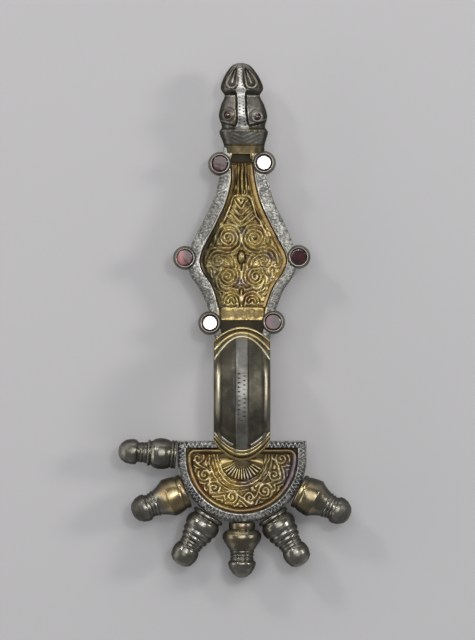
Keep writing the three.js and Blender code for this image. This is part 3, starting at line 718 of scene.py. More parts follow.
def bowTrim():
    # beads round both landings, and bars beside the middle band inside the lower beads; the beads are
    # lightened to pale gold and the bars coloured lighter than the panels, as painted highlights
    shells = []
    edge = bow["halfWidth"]
    x = np.linspace(-edge + 0.25, edge - 0.25, 32)
    share = (x / edge) ** 2
    startLine, endLine = bowEnds(x)
    for line, way, beads in ((startLine, 1, bow["startBeads"]), (endLine, -1, bow["endBeads"])):
        for gap, sweep, radius, gilded in beads:
            y = line + way * (gap + sweep * share)
            path = np.stack([x, y, bowHeightAt(x, y, 0.997)], -1)
            radii = radius * (0.75 + 0.25 * rise(edge, edge - 1.5, np.abs(x)))
            # pale gold on the beads, as a painted highlight
            shells.append(shell(*tube(path, radii, 8), gild=gilded, hollow=-0.75))
    for sign in (-1, 1):
        x = sign * np.linspace(bow["barFrom"], bow["barTo"], 16)
        y = bowEnds(x)[0] + 4.0
        path = np.stack([x, y, bowHeightAt(x, y, 1) - 0.2], -1)
        # lighter than the panels, as a painted highlight
        shells.append(shell(*tube(path, bow["barRadius"], 10), gild=0.25, dark=0.35))
    return shells


def bowShells():
    edge = bow["halfWidth"]
    halfColumns = np.concatenate([np.linspace(0, 1.5, 5)[:-1], np.linspace(1.5, 2.6, 8)[:-1],
                                  np.linspace(2.6, 5.8, 6)[:-1], np.linspace(5.8, edge, 12)])
    xs = np.concatenate([-halfColumns[:0:-1], halfColumns])
    # rows at even lengths along the arch
    fine = np.sin(np.linspace(-1, 1, 1500) * np.pi / 2)
    fineY, fineZ = bowSurface(np.zeros_like(fine), fine)
    length = np.concatenate([[0], np.cumsum(np.hypot(np.diff(fineY), np.diff(fineZ)))])
    ts = np.interp(np.linspace(0, length[-1], 128), length, fine)
    x = np.broadcast_to(xs, (len(ts), len(xs))).copy()
    t = np.broadcast_to(ts[:, None], x.shape)
    y, z = bowSurface(x, t)
    along = np.interp(ts, fine, length)[:, None]
    # ribs stand out along the surface's own direction
    slopeX = np.stack([np.gradient(v, axis=1) for v in (x, y, z)], -1)
    slopeT = np.stack([np.zeros_like(x), np.gradient(y, axis=0), np.gradient(z, axis=0)], -1)
    normal = np.cross(slopeX, slopeT)
    normal = normal / np.maximum(np.linalg.norm(normal, axis=-1, keepdims=True), 1e-9)
    lift = 0 * x
    for rib in bow["ribs"]:
        centre = np.interp(rib, fine, length)
        lift = lift + bow["ribHeight"] * np.exp(-((along - centre) / bow["ribWidth"]) ** 2)
    lift = lift * rise(edge, edge - 0.8, np.abs(x))
    lift = lift + 0.012 * unevenness(x, along, 3.5, 71) * rise(edge, edge - 0.5, np.abs(x))
    points = np.stack([x, y, z], -1) + normal * lift[..., None]

    # what the material reads
    ribbed = np.clip(lift / bow["ribHeight"], 0, 1)
    across = (x - bow["stripMiddle"]) / bow["stripHalf"]
    strip = (np.abs(across) < 1) & (t > -0.87) & (t < 0.9)
    dotted = strip & (np.abs(t + 0.04) < bow["dotsHalf"])
    flange = bump(bow["flangeAt"], bow["flangeHalf"], np.abs(x))
    onRibs = np.clip(rise(0.80, 0.86, -t) + rise(0.84, 0.89, t), 0, 1)
    # the flanks darken towards olive, as tarnish and painted shade, except for a painted highlight along each
    # flange near the crown; the gaps between the ribs are darker as painted shade
    sides = 0.93 - 0.93 * flange * rise(0.62, 0.3, np.abs(t))
    dark = np.where(strip, 0.5, sides) * (1 - onRibs) + 0.05 + 0.3 * onRibs * np.clip(1 - ribbed, 0, 1)
    # hollows darken with dirt and painted shade; the rib crests lighten as wear and painted highlight, and
    # the flange near the crown as a painted highlight
    hollow = hollowness(-bowSection(np.abs(x)) + 0 * x, 4, (False, False), 0.25)
    hollow = hollow + onRibs * (0.75 - 1.5 * ribbed) - 1.1 * flange * rise(0.6, 0.35, np.abs(t + 0.05))
    gild = np.where(strip, 0.0, np.clip(0.4 + 0.15 * flange + onRibs, 0, 1))
    rows, columns = x.shape
    shells = [shell(points, gridFaces(rows, columns), gild=gild, inlay=np.where(dotted, 2.0, 0.0),
                    run=along / 1.3 + 0 * x, across=across, hollow=np.clip(hollow, -1, 1),
                    tint=unevenness(x, along, 9, 72), dark=dark,
                    worn=0.12 + 0.25 * unevenness(x, along, 4, 73))]
    shells += bowTrim()

    # underside and side edges, coarser; the arch below is open between the two plates
    tunnelFrom = headPlate["shoulder"] + 0.6
    tunnelTo = footPlate["from"] - 0.7
    underX = np.array([-edge, *bow["underside"], edge])
    ux = np.broadcast_to(underX, (rows, len(underX)))
    uy = points[:, 0, 1][:, None] + 0 * ux
    place = (uy - (tunnelFrom + tunnelTo) / 2) / ((tunnelTo - tunnelFrom) / 2)
    crown = bow["height"] - bow["band"] - 0.9 * bowSection(np.abs(ux))
    uz = bow["landing"] + crown * archRise(np.clip(place, -1, 1)) * 0.965
    uz = np.where(np.abs(place) >= 1, 0.2, np.minimum(uz, bowHeightAt(ux, uy, 1) - 0.25))
    under = np.stack([ux, uy, uz], -1)
    # the underside is darkened as painted shade
    shells.append(shell(under, flipped(gridFaces(rows, len(underX))), gild=0.15, hollow=0.3, dark=0.5))
    for column, bulge in ((0, -0.1), (-1, 0.1)):
        upper = points[:, column]
        lower = under[:, column]
        halfway = 0.5 * (upper + lower) + np.array([bulge, 0, 0])
        faces = flipped(gridFaces(rows, 3)) if bulge < 0 else gridFaces(rows, 3)
        shells.append(shell(np.stack([upper, halfway, lower], 1), faces, gild=0.8))
    return shells


# animal head: eyes in swollen panels, a collar behind them and two nostril lobes in front
animalHead = {
    "from": 88.8, "tipFrom": 114.2, "to": 115.1,
    "collarFrom": 91.3, "collarTo": 95.8, "panelTo": 105.9, "lobesFrom": 107.0,
    "eyes": {"left": (-4.15, 99.7), "right": (4.42, 99.2)},
    "collarLines": (90.4, 91.5, 92.6, 93.7), "collarSlant": 0.42,
    # sharp end, middle and radius of the two drops
    "drops": (((-1.75, 113.4), (-2.95, 109.2), 1.42), ((1.05, 113.4), (2.75, 109.2), 1.5)),
    "patternStep": 0.95,
    "wall": ((0.9, 0.985), (0.04, 0.94)),             # edge loops: height, share of the half width
    "halfWidth": [
        (88.8, 5.8), (91.4, 6), (95, 7.1), (96.4, 6.3), (99.5, 7.05), (102.9, 6.3), (105.6, 5.15),
        (107.6, 6.2), (110.2, 5.5), (113.1, 3.8), (114.6, 2.3), (115.1, 0.9),
    ],
    "height": [
        (88.8, 3.4), (91.4, 4.2), (95, 5.4), (96.4, 5), (99.5, 6.2), (103, 5.8), (105.6, 4.6),
        (108, 5), (111.5, 4.3), (115.1, 2.2),
    ],
    "stripHalf": [                                    # silver strip down the middle
        (88.8, 2.6), (93, 2.5), (96.0, 2.1), (97.6, 1.4), (99.4, 1.2), (104.4, 1.12), (105.8, 1.2),
        (107.2, 1.5), (108.2, 0.95), (110.2, 0.58), (112.4, 0.66), (113.8, 0.8), (115.1, 0.6),
    ],
}
headHalfWidth = smoothProfile(animalHead["halfWidth"])
headHeight = smoothProfile(animalHead["height"])
stripHalfWidth = smoothProfile(animalHead["stripHalf"])


def teardrop(x, y, point, heart, radius):
    # 0 in the middle of a drop whose sharp end is at the point, 1 on its outline
    dx, dy = heart[0] - point[0], heart[1] - point[1]
    length = math.hypot(dx, dy)
    along = ((x - point[0]) * dx + (y - point[1]) * dy) / length**2
    off = np.abs((x - point[0]) * dy - (y - point[1]) * dx) / length
    width = radius * np.sqrt(np.clip(along, 0.01, 1))
    beside = off / width + np.where(along < 0, -along * length / 0.3, 0)
    beyond = np.hypot(off, (along - 1) * length) / radius
    return np.where(along > 1, beyond, beside)


def headLean(y):
    # the head leans a little to the left towards its tip
    return 0.5 - 0.04 * (y - 95)


def headSides(side, ys, z, share, height):
    # one loop round the head: up its right side and down its left side
    loop = []
    for column, way in ((-1, 1), (0, -1)):
        x = headLean(ys[side]) + way * headHalfWidth(ys[side]) * share
        tall = z[side, column] if height is None else np.full(len(x), height)
        loop.append(np.stack([x, ys[side], tall], -1))
    return np.concatenate([loop[0], loop[1][::-1]])


def animalHeadShells():
    tip = animalHead["tipFrom"]
    ys = np.concatenate([np.linspace(animalHead["from"], tip, 112)[:-1],
                         np.linspace(tip, animalHead["to"], 7)])
    us = np.sin(np.linspace(-1, 1, 92) * np.pi / 2 * 0.93) / math.sin(np.pi / 2 * 0.93)
    y = ys[:, None] + 0 * us[None, :]
    u = us[None, :] + 0 * y
    x = headLean(y) + u * headHalfWidth(y)
    outward = np.abs(u)
    tall = headHeight(y)
    z = tall - (tall - 1.3) * (0.12 * outward**2 + 0.78 * outward**6)
    lx = x - headLean(y) + 0.35                       # sideways from the middle strip
    strip = stripHalfWidth(y)
    off = np.abs(lx)
    onHead = rise(95.2, 96.4, y)
    z = z + 0.3 * onHead * rise(strip + 0.1, strip - 0.12, off)

    # panels round the eyes swell, and a groove follows their edges
    panelFloor = y - 96.6 - 0.035 * off**2 * np.sign(lx + 9)
    panelEdge = np.minimum(off - strip - 0.3, np.minimum(panelFloor, animalHead["panelTo"] - y))
    panelEdge = np.where(y > 106.4, 9.0, panelEdge)
    z = z - 0.8 * onHead * bump(-0.05, 0.34, panelEdge) * rise(106.6, 106.0, y)
    z = z + 0.22 * bump(0.42, 0.26, panelEdge) * np.where(lx > 0, 1.0, 0.3)
    z = z + 0.25 * np.exp(-((off - 4.0) / 1.9) ** 2 - ((y - 100.5) / 4.0) ** 2)
    for eyeX, eyeY in animalHead["eyes"].values():
        z = z - 0.3 * bump(2.0, 0.4, np.hypot(x - eyeX, y - eyeY))

    # nostril lobes: a rolled lower rim over an undercut, and a drop with a raised edge on each side
    z = z - 1.0 * bump(106.3, 0.5, y) * rise(strip + 0.05, strip + 0.35, off)
    z = z + 0.4 * bump(107.4, 0.45, y) * rise(strip + 0.1, strip + 0.5, off)
    leftDrop, rightDrop = animalHead["drops"]
    drops = np.minimum(teardrop(x, y, *leftDrop), teardrop(x, y, *rightDrop))
    inLobes = rise(106.9, 107.4, y)
    dropShape = 0.5 * bump(1.0, 0.27, drops) - 0.75 * rise(0.86, 0.55, drops) + 0.5 * rise(0.42, 0.15, drops)
    z = z + inLobes * dropShape
    z = z - inLobes * 0.42 * bump(1.42, 0.2, drops) * rise(strip + 0.1, strip + 0.3, off)
    z = z - 0.3 * inLobes * bump(0.86, 0.05, outward) * rise(113.8, 113.0, y)

    # collar with faint chevron lines, and a ledge towards the plate
    inCollar = rise(90.9, 91.4, y) * rise(95.7, 95.2, y)
    chevron = y - animalHead["collarSlant"] * off
    for line in animalHead["collarLines"]:
        z = z - 0.09 * inCollar * bump(line, 0.22, chevron)
    z = z - 0.5 * bump(95.85, 0.32, y) * rise(strip - 0.6, strip + 0.2, off)
    z = z + 0.2 * bump(95.15, 0.35, y)
    z = z + 0.25 * rise(91.2, 90.9, y) - 0.4 * bump(91.15, 0.25, y)
    z = np.maximum(z + 0.04 * unevenness(x, y, 2.2, 81), 0.4)

    # what the material reads
    onLedge = y < animalHead["collarFrom"]
    onStrip = (off < strip - 0.05) & (y > 96.2) & (y < 113.6)
    onLobes = y > animalHead["lobesFrom"]
    betweenEyes = (y > 97) & (y < 105.6)
    # hollows darken with dirt and painted shade, and the sides darken further as painted shade; the middle of
    # the ledge is lightened to pale gold as a painted highlight
    hollow = np.clip(hollowness(z, 5, (False, False), 0.35) + 0.85 * rise(0.74, 0.96, outward), -1, 1)
    hollow = np.where((y < 90.85) & (off < 3.4), -0.7, hollow)
    gild = np.where(onLedge, 1.0, np.where(onStrip, 0.0, 0.1))
    gild = np.where((y > 95.0) & (y < 95.7) & (lx > 1.5), 0.7, gild)
    gild = np.where(onLobes & (drops > 0.8) & (drops < 1.3), 0.45, gild)
    gild = np.where((lx < -strip - 0.2) & (lx > -5.0) & (y > 97) & (y < 105.5), 0.4, gild)
    dark = np.where(onStrip, 0.0, np.where(y < animalHead["collarTo"], 0.62, 0.74))
    dark = np.where(onLedge, 0.05 + 0.75 * rise(2.2, 4.0, off), dark)
    dark = np.where(onLobes & ((drops > 0.85) & (drops < 1.22) | (drops < 0.4)), 0.2, dark)
    # painted shade: darker towards the sides
    dark = np.clip(dark + 0.4 * rise(0.72, 0.92, outward), 0, 1)
    rubbed = bump(0.42, 0.3, panelEdge) * rise(106.5, 106.0, y) * rise(96.4, 97.0, y)
    dark = dark - 0.45 * rubbed
    dark = dark - 0.3 * (lx < 0) * rise(-3.6, -2.6, lx) * betweenEyes * (~onStrip)
    top = shell(np.stack([x, y, z], -1), gridFaces(*x.shape), gild=gild, inlay=np.where(onStrip, 3.0, 0.0),
                run=y / animalHead["patternStep"], across=lx / np.maximum(strip, 0.3), hollow=hollow,
                tint=unevenness(x, y, 6, 82) + 0.6 * (lx < 0), dark=dark)

    side = slice(0, len(ys), 2)
    loops = [headSides(side, ys, z, 1.0, None)]
    for height, share in animalHead["wall"]:
        loops.append(headSides(side, ys, z, share, height))
    # the edge walls are darkened as painted shade
    return [top, wallShell(loops, gild=0.12, hollow=0.35, dark=0.6), flatBack(loops[-1], len(ys[side]))]


# round settings for the flat stones, and small raised ones for the eyes
setting = {
    "places": {
        "neck_left": (-6.41, 85.7), "neck_right": (6.41, 86.0),
        "side_left": (-16.6, 58.3), "side_right": (16.5, 58.6),
        "bow_left": (-9.3, 39.35), "bow_right": (9.1, 39.6),
    },
    "collar": [
        (0.02, 0.3), (3.35, 0.3), (3.45, 0.4), (3.5, 1.9), (3.4, 2.6), (3.1, 3.35), (2.98, 3.6), (3.02, 3.75),
        (2.95, 4.0), (2.78, 4.12), (2.6, 4.13), (2.47, 4.05), (2.42, 3.8), (2.41, 2.86), (0.02, 2.86),
    ],
    "eyeRim": [
        (1.62, 3.6), (1.62, 5.4), (1.6, 5.9), (1.5, 6.2), (1.3, 6.3), (1.1, 6.26), (1.01, 6.0), (1.01, 5.3),
        (0.02, 5.3),
    ],
}


def settingShells():
    shells = []
    for i, (x, y) in enumerate(setting["places"].values()):
        points, faces = lathe(smoothTurned(setting["collar"], 0.26), 34, 0.006, 90 + i)
        # the collar is darkened, as tarnish and painted shade, and only the inner lip is kept pale and
        # brightened like a crest, as polish and painted highlight
        lip = rise(2.78, 2.62, np.hypot(points[..., 0], points[..., 1])) * (points[..., 2] > 3.7)
        shells.append(shell(points + np.array([x, y, 0]), faces, gild=0.35 * (1 - lip),
                            hollow=0.25 * (1 - lip) - 0.5 * lip, dark=0.8 * (1 - lip)))
    for i, (x, y) in enumerate(animalHead["eyes"].values()):
        points, faces = lathe(smoothTurned(setting["eyeRim"], 0.2), 24, 0.01, 97 + i)
        shells.append(shell(points + np.array([x, y, 0]), faces, gild=0.2,
                            hollow=0.2 - 0.2 * i, dark=0.85 - 0.4 * i))
    return shells


# on the back: two lugs that hold the axle, and a catch for the pin
fittings = {
    "lugOutline": [
        (-5.4, 0.4), (-5.15, -2), (-4.75, -6), (-4.5, -8.2), (-4.0, -8.85), (-3, -9), (-1, -9), (0, -8.85),
        (0.5, -8.2), (0.75, -6), (1.15, -2), (1.4, 0.4),
    ],
    # loops of both: place along the prism, and share of the outline
    "lugLoops": ((8.7, 0.96), (8.85, 1.0), (10.05, 1.0), (10.2, 0.96)),
    "lugMiddle": -2, "lugFoot": -8.5,
    "catchOutline": [                                 # a fin with its foot turned under the pin
        (1.3, 0.4), (1.3, -7.0), (1.1, -7.6), (0.5, -7.9), (-1.5, -7.9), (-1.7, -8.1), (-1.7, -8.8),
        (-1.5, -9.0), (1.8, -9.0), (2.35, -8.7), (2.6, -8.1), (2.6, 0.4),
    ],
    "catchLoops": ((62.0, 0.94), (62.3, 1.0), (69, 1.0), (75.7, 1.0), (76.0, 0.94)),
    "catchMiddle": 0.45, "catchFoot": -7.85,
    "look": {"gild": 0.1, "hollow": 0.15},
}


def prismFaces(loops, count, ends):
    # the sides of a closed prism and its first and last faces, turned outwards when ends is 1
    sides = gridFaces(loops, count, closeColumns=True)
    caps = [tuple(range(count)), tuple(range(loops * count - 1, (loops - 1) * count - 1, -1))]
    return sides + flipped(caps) if ends > 0 else flipped(sides) + caps


def fittingShells():
    shells = []
    for sign in (-1, 1):
        points = []
        for x, share in fittings["lugLoops"]:
            for y, z in fittings["lugOutline"]:
                points.append((sign * x, fittings["lugMiddle"] + (y - fittings["lugMiddle"]) * share,
                               z * (share if z < fittings["lugFoot"] else 1)))
        faces = prismFaces(len(fittings["lugLoops"]), len(fittings["lugOutline"]), sign)
        shells.append(shell(points, faces, **fittings["look"]))
    points = []
    for y, share in fittings["catchLoops"]:
        for x, z in fittings["catchOutline"]:
            points.append((fittings["catchMiddle"] + (x - fittings["catchMiddle"]) * share, y,
                           z * (share if z < fittings["catchFoot"] else 1)))
    faces = prismFaces(len(fittings["catchLoops"]), len(fittings["catchOutline"]), -1)
    shells.append(shell(points, faces, **fittings["look"]))
    return shells


# short ways to wire up shader nodes
def newGroup(name, inputs, outputs):
    group = bpy.data.node_groups.new(name, "ShaderNodeTree")
    for socketName, default in inputs:
        socket = group.interface.new_socket(name=socketName, in_out="INPUT", socket_type="NodeSocketFloat")
        socket.default_value = default
    for socketName in outputs:
        group.interface.new_socket(name=socketName, in_out="OUTPUT", socket_type="NodeSocketFloat")
    start = group.nodes.new("NodeGroupInput")
    end = group.nodes.new("NodeGroupOutput")
    return group, start, end


def addNode(tree, kind, values=None, **settings):
    node = tree.nodes.new(kind)
    for key, value in settings.items():
        setattr(node, key, value)
    for key, value in (values or {}).items():
        node.inputs[key].default_value = value
    return node


def placeGroup(tree, group, values=None):
    node = tree.nodes.new("ShaderNodeGroup")
    node.node_tree = group
    for key, value in (values or {}).items():
        node.inputs[key].default_value = value
    return node


def calc(tree, operation, first, second=None, clamp=False):
    node = tree.nodes.new("ShaderNodeMath")
    node.operation = operation
    node.use_clamp = clamp
    for i, value in enumerate((first, second)):
        if value is None:
            continue
        if isinstance(value, (int, float)):
            node.inputs[i].default_value = value
        else:
            tree.links.new(value, node.inputs[i])
    return node.outputs[0]


def times(tree, first, second):
    return calc(tree, "MULTIPLY", first, second)


def plus(tree, first, second, clamp=False):
    return calc(tree, "ADD", first, second, clamp)


def minus(tree, first, second, clamp=False):
    return calc(tree, "SUBTRACT", first, second, clamp)


def mixColour(tree, factor, first, second):
    node = tree.nodes.new("ShaderNodeMix")
    node.data_type = "RGBA"
    for value, socket in ((factor, node.inputs[0]), (first, node.inputs[6]), (second, node.inputs[7])):
        if isinstance(value, (int, float)):
            socket.default_value = value
        elif isinstance(value, tuple):
            socket.default_value = (*value, 1)
        else:
            tree.links.new(value, socket)
    return node.outputs[2]


def ramp(tree, value, low, high):
    node = tree.nodes.new("ShaderNodeMapRange")
    node.interpolation_type = "SMOOTHSTEP"
    node.inputs["From Min"].default_value = low
    node.inputs["From Max"].default_value = high
    tree.links.new(value, node.inputs["Value"])
    return node.outputs[0]


def noise(tree, place, scale, detail=4.0, rough=0.6):
    node = addNode(tree, "ShaderNodeTexNoise", {"Scale": scale, "Detail": detail, "Roughness": rough})
    tree.links.new(place, node.inputs["Vector"])
    return node.outputs["Fac"]


def objectPlace(tree):
    return addNode(tree, "ShaderNodeTexCoord").outputs["Object"]


def markOf(tree, name):
    return addNode(tree, "ShaderNodeAttribute", attribute_name=name, attribute_type="GEOMETRY").outputs["Fac"]


def makeAgedSurface():
    # blotches of tarnish, fine pits and scratches for all the old metal
    group, start, end = newGroup("agedSurface", [("Blotch Scale", 160.0), ("Pit Scale", 1500.0)],
                                 ["Blotch", "Fine", "Pits", "Height"])
    place = objectPlace(group)
    blotches = addNode(group, "ShaderNodeTexNoise", {"Detail": 5.0, "Roughness": 0.62})
    fine = addNode(group, "ShaderNodeTexNoise", {"Detail": 4.0, "Roughness": 0.7})
    for node, scale in ((blotches, "Blotch Scale"), (fine, "Pit Scale")):
        group.links.new(place, node.inputs["Vector"])
        group.links.new(start.outputs[scale], node.inputs["Scale"])
    scratchPlace = addNode(group, "ShaderNodeMapping",
                           {"Rotation": (0.3, 0.2, 0.7), "Scale": (260.0, 2600.0, 700.0)})
    group.links.new(place, scratchPlace.inputs["Vector"])
    scratch = noise(group, scratchPlace.outputs[0], 1.0, 3.0, 0.5)
    pits = ramp(group, fine.outputs["Fac"], 0.58, 0.72)
    height = minus(group, times(group, fine.outputs["Fac"], 0.5), times(group, pits, 0.6))
    height = plus(group, height, times(group, scratch, 0.25))
    group.links.new(ramp(group, blotches.outputs["Fac"], 0.36, 0.64), end.inputs["Blotch"])
    group.links.new(fine.outputs["Fac"], end.inputs["Fine"])
    group.links.new(pits, end.inputs["Pits"])
    group.links.new(height, end.inputs["Height"])
    return group


def makeInlayPattern():
    # black inlay: rows of triangles on the borders (kind 1), staggered dots on the bow (2) and the snout (3)
    inputs = [("Kind", 0.0), ("Run", 0.0), ("Across", 0.0), ("Worn", 0.0)]
    group, start, end = newGroup("inlayPattern", inputs, ["Inlay"])
    run = start.outputs["Run"]
    across = start.outputs["Across"]
    kind = start.outputs["Kind"]
    # the border's triangles lie on both sides of a zigzag line
    wave = times(group, calc(group, "ABSOLUTE", minus(group, calc(group, "FRACT", run), 0.5)), 2.0)
    zigzag = times(group, minus(group, wave, 0.5), 1.15)
    fromLine = calc(group, "ABSOLUTE", minus(group, across, zigzag))
    withinRow = ramp(group, calc(group, "ABSOLUTE", across), 0.74, 0.66)
    triangles = times(group, ramp(group, fromLine, 0.14, 0.24), withinRow)
    # the dots are small triangles on their sides, narrower towards the middle of the strip
    dots = []
    for side, shift, taper in ((-0.42, 0.0, -0.5), (0.42, 0.5, 0.5)):
        alongDot = minus(group, calc(group, "FRACT", plus(group, run, shift)), 0.5)
        acrossDot = minus(group, across, side)
        width = plus(group, times(group, acrossDot, taper), 0.16)
        inAlong = ramp(group, minus(group, calc(group, "ABSOLUTE", alongDot), width), 0.03, -0.03)
        inAcross = ramp(group, calc(group, "ABSOLUTE", acrossDot), 0.3, 0.22)
        dots.append(times(group, inAlong, inAcross))
    dotted = calc(group, "MAXIMUM", dots[0], dots[1])
    isDots = calc(group, "GREATER_THAN", kind, 1.5)
    isOn = calc(group, "GREATER_THAN", kind, 0.5)
    chosen = plus(group, times(group, dotted, isDots), times(group, triangles, minus(group, 1.0, isDots)))
    kept = minus(group, 1.0, start.outputs["Worn"], clamp=True)
    group.links.new(times(group, times(group, chosen, isOn), kept), end.inputs["Inlay"])
    return group


agedSurface = makeAgedSurface()
inlayPattern = makeInlayPattern()
print("shader groups ready")


def newMaterial(name):
    material = bpy.data.materials.new(name)
    material.use_nodes = True
    tree = material.node_tree
    return material, tree, tree.nodes["Principled BSDF"]


def addRelief(tree, shader, height, strength, distance):
    relief = addNode(tree, "ShaderNodeBump", {"Strength": strength, "Distance": distance})
    tree.links.new(height, relief.inputs["Height"])
    tree.links.new(relief.outputs["Normal"], shader.inputs["Normal"])


castingLook = {
    "gold": (0.60, 0.465, 0.195), "redGold": (0.42, 0.27, 0.13), "paleGold": (0.92, 0.81, 0.46),
    "brownGold": (0.30, 0.23, 0.11), "purple": (0.33, 0.29, 0.42),
    "silver": (0.58, 0.58, 0.55), "bright": (0.84, 0.82, 0.78), "tarnish": (0.20, 0.195, 0.17),
    # olive stands for tarnish and painted shade
    "olive": (0.088, 0.083, 0.060), "black": (0.035, 0.035, 0.038), "grit": (0.10, 0.10, 0.09),
    # colours of the hollows: dirt and painted shade, then blacker where the painted shade is deep
    "dirtAndShade": (0.058, 0.041, 0.021), "deepShade": (0.026, 0.026, 0.020),
    "blotchScale": 190.0, "pitScale": 1700.0, "baseRoughness": 0.23, "specular": 0.3,
    "bumpStrength": 0.35, "bumpDistance": 0.00009,
}


def makeCastingMaterial():
    look = castingLook
    material, tree, shader = newMaterial("gildedCasting")
    aged = placeGroup(tree, agedSurface, {"Blotch Scale": look["blotchScale"], "Pit Scale": look["pitScale"]})
    blotch = aged.outputs["Blotch"]
    place = objectPlace(tree)
    gild = markOf(tree, "gild")
    hollow = markOf(tree, "hollow")
    kind = markOf(tree, "inlay")

    # inlay, rubbed away in places
    pattern = placeGroup(tree, inlayPattern)
    tree.links.new(kind, pattern.inputs["Kind"])
    tree.links.new(markOf(tree, "run"), pattern.inputs["Run"])
    tree.links.new(markOf(tree, "across"), pattern.inputs["Across"])
    rubbed = times(tree, ramp(tree, noise(tree, place, 330.0), 0.48, 0.66), 0.75)
    wornAway = plus(tree, plus(tree, times(tree, aged.outputs["Pits"], 0.3), rubbed), markOf(tree, "worn"))
    tree.links.new(wornAway, pattern.inputs["Worn"])
    inlay = pattern.outputs["Inlay"]

    # gold: pale on crests, as wear and painted highlight, red-brown in patches
    gold = mixColour(tree, ramp(tree, markOf(tree, "tint"), -0.1, 0.9), look["gold"], look["redGold"])
    patches = plus(tree, times(tree, ramp(tree, noise(tree, place, 150.0, 2.0, 0.5), 0.44, 0.6), 0.55), 0.45)
    gold = mixColour(tree, times(tree, ramp(tree, hollow, -0.15, -0.8), patches), gold, look["paleGold"])
    gold = mixColour(tree, times(tree, blotch, 0.45), gold, look["brownGold"])

    # silver: gritty on the borders, bright on crests (wear and painted highlight), specks and the snout
    silver = mixColour(tree, times(tree, blotch, 0.55), look["silver"], look["tarnish"])
    onBorder = calc(tree, "LESS_THAN", calc(tree, "ABSOLUTE", minus(tree, kind, 1.0)), 0.5)
    borderShare = times(tree, onBorder, 0.8)
    grain = times(tree, ramp(tree, noise(tree, place, 1500.0, 2.0, 0.6), 0.46, 0.56), borderShare)
    silver = mixColour(tree, grain, silver, look["grit"])
    silver = mixColour(tree, times(tree, ramp(tree, hollow, -0.35, -0.85), 0.85), silver, look["bright"])
    specks = times(tree, ramp(tree, noise(tree, place, 1900.0, 1.0, 0.5), 0.60, 0.66), borderShare)
    silver = mixColour(tree, specks, silver, look["bright"])
    onSnout = calc(tree, "GREATER_THAN", kind, 2.5)
    silver = mixColour(tree, times(tree, onSnout, 0.7), silver, look["bright"])

    # worn gilding over the silver, then tarnish and painted shade towards olive, a purple sheen, and dirt and
    # painted shade in the hollows, blacker where the painted shade is deep
    worn = times(tree, ramp(tree, noise(tree, place, 420.0), 0.60, 0.70), 0.5)
    metal = mixColour(tree, minus(tree, gild, worn, clamp=True), silver, gold)
    tarnished = plus(tree, times(tree, blotch, 0.2), 0.86)
    shade = calc(tree, "MULTIPLY", markOf(tree, "dark"), tarnished, clamp=True)
    metal = mixColour(tree, shade, metal, look["olive"])
    sheen = times(tree, ramp(tree, noise(tree, place, 95.0, 2.0, 0.5), 0.60, 0.72), 0.45)
    metal = mixColour(tree, times(tree, sheen, gild), metal, look["purple"])
    # dirt and painted shade in the hollows
    dirtAndShade = times(tree, ramp(tree, hollow, 0.02, 0.75), 0.9)
    metal = mixColour(tree, dirtAndShade, metal, mixColour(tree, shade, look["dirtAndShade"], look["deepShade"]))
    metal = mixColour(tree, inlay, metal, look["black"])
    tree.links.new(metal, shader.inputs["Base Color"])

    rough = plus(tree, times(tree, aged.outputs["Fine"], 0.2), look["baseRoughness"])
    rough = plus(tree, rough, times(tree, shade, 0.10))
    rough = plus(tree, rough, times(tree, onSnout, 0.14))
    rough = plus(tree, rough, times(tree, dirtAndShade, 0.35))
    rough = plus(tree, rough, times(tree, inlay, 0.12), clamp=True)
    tree.links.new(rough, shader.inputs["Roughness"])
    metallic = minus(tree, 1.0, times(tree, dirtAndShade, 0.45))
    metallic = minus(tree, metallic, times(tree, shade, 0.3))
    metallic = minus(tree, metallic, times(tree, inlay, 0.4), clamp=True)
    tree.links.new(metallic, shader.inputs["Metallic"])
    shader.inputs["Specular IOR Level"].default_value = look["specular"]
    addRelief(tree, shader, aged.outputs["Height"], look["bumpStrength"], look["bumpDistance"])
    return material


knobLook = {
    "grey": (0.34, 0.33, 0.29), "brownGrey": (0.20, 0.195, 0.155), "pit": (0.10, 0.10, 0.085),
    "gold": (0.56, 0.45, 0.20), "redGold": (0.42, 0.29, 0.13), "shadow": (0.028, 0.027, 0.021),
    "groove": (0.03, 0.028, 0.02), "crest": (0.62, 0.60, 0.54),
    "blotchScale": 130.0, "pitScale": 1300.0, "baseRoughness": 0.17, "specular": 0.25,
    "bumpStrength": 0.3, "bumpDistance": 0.0001,
}


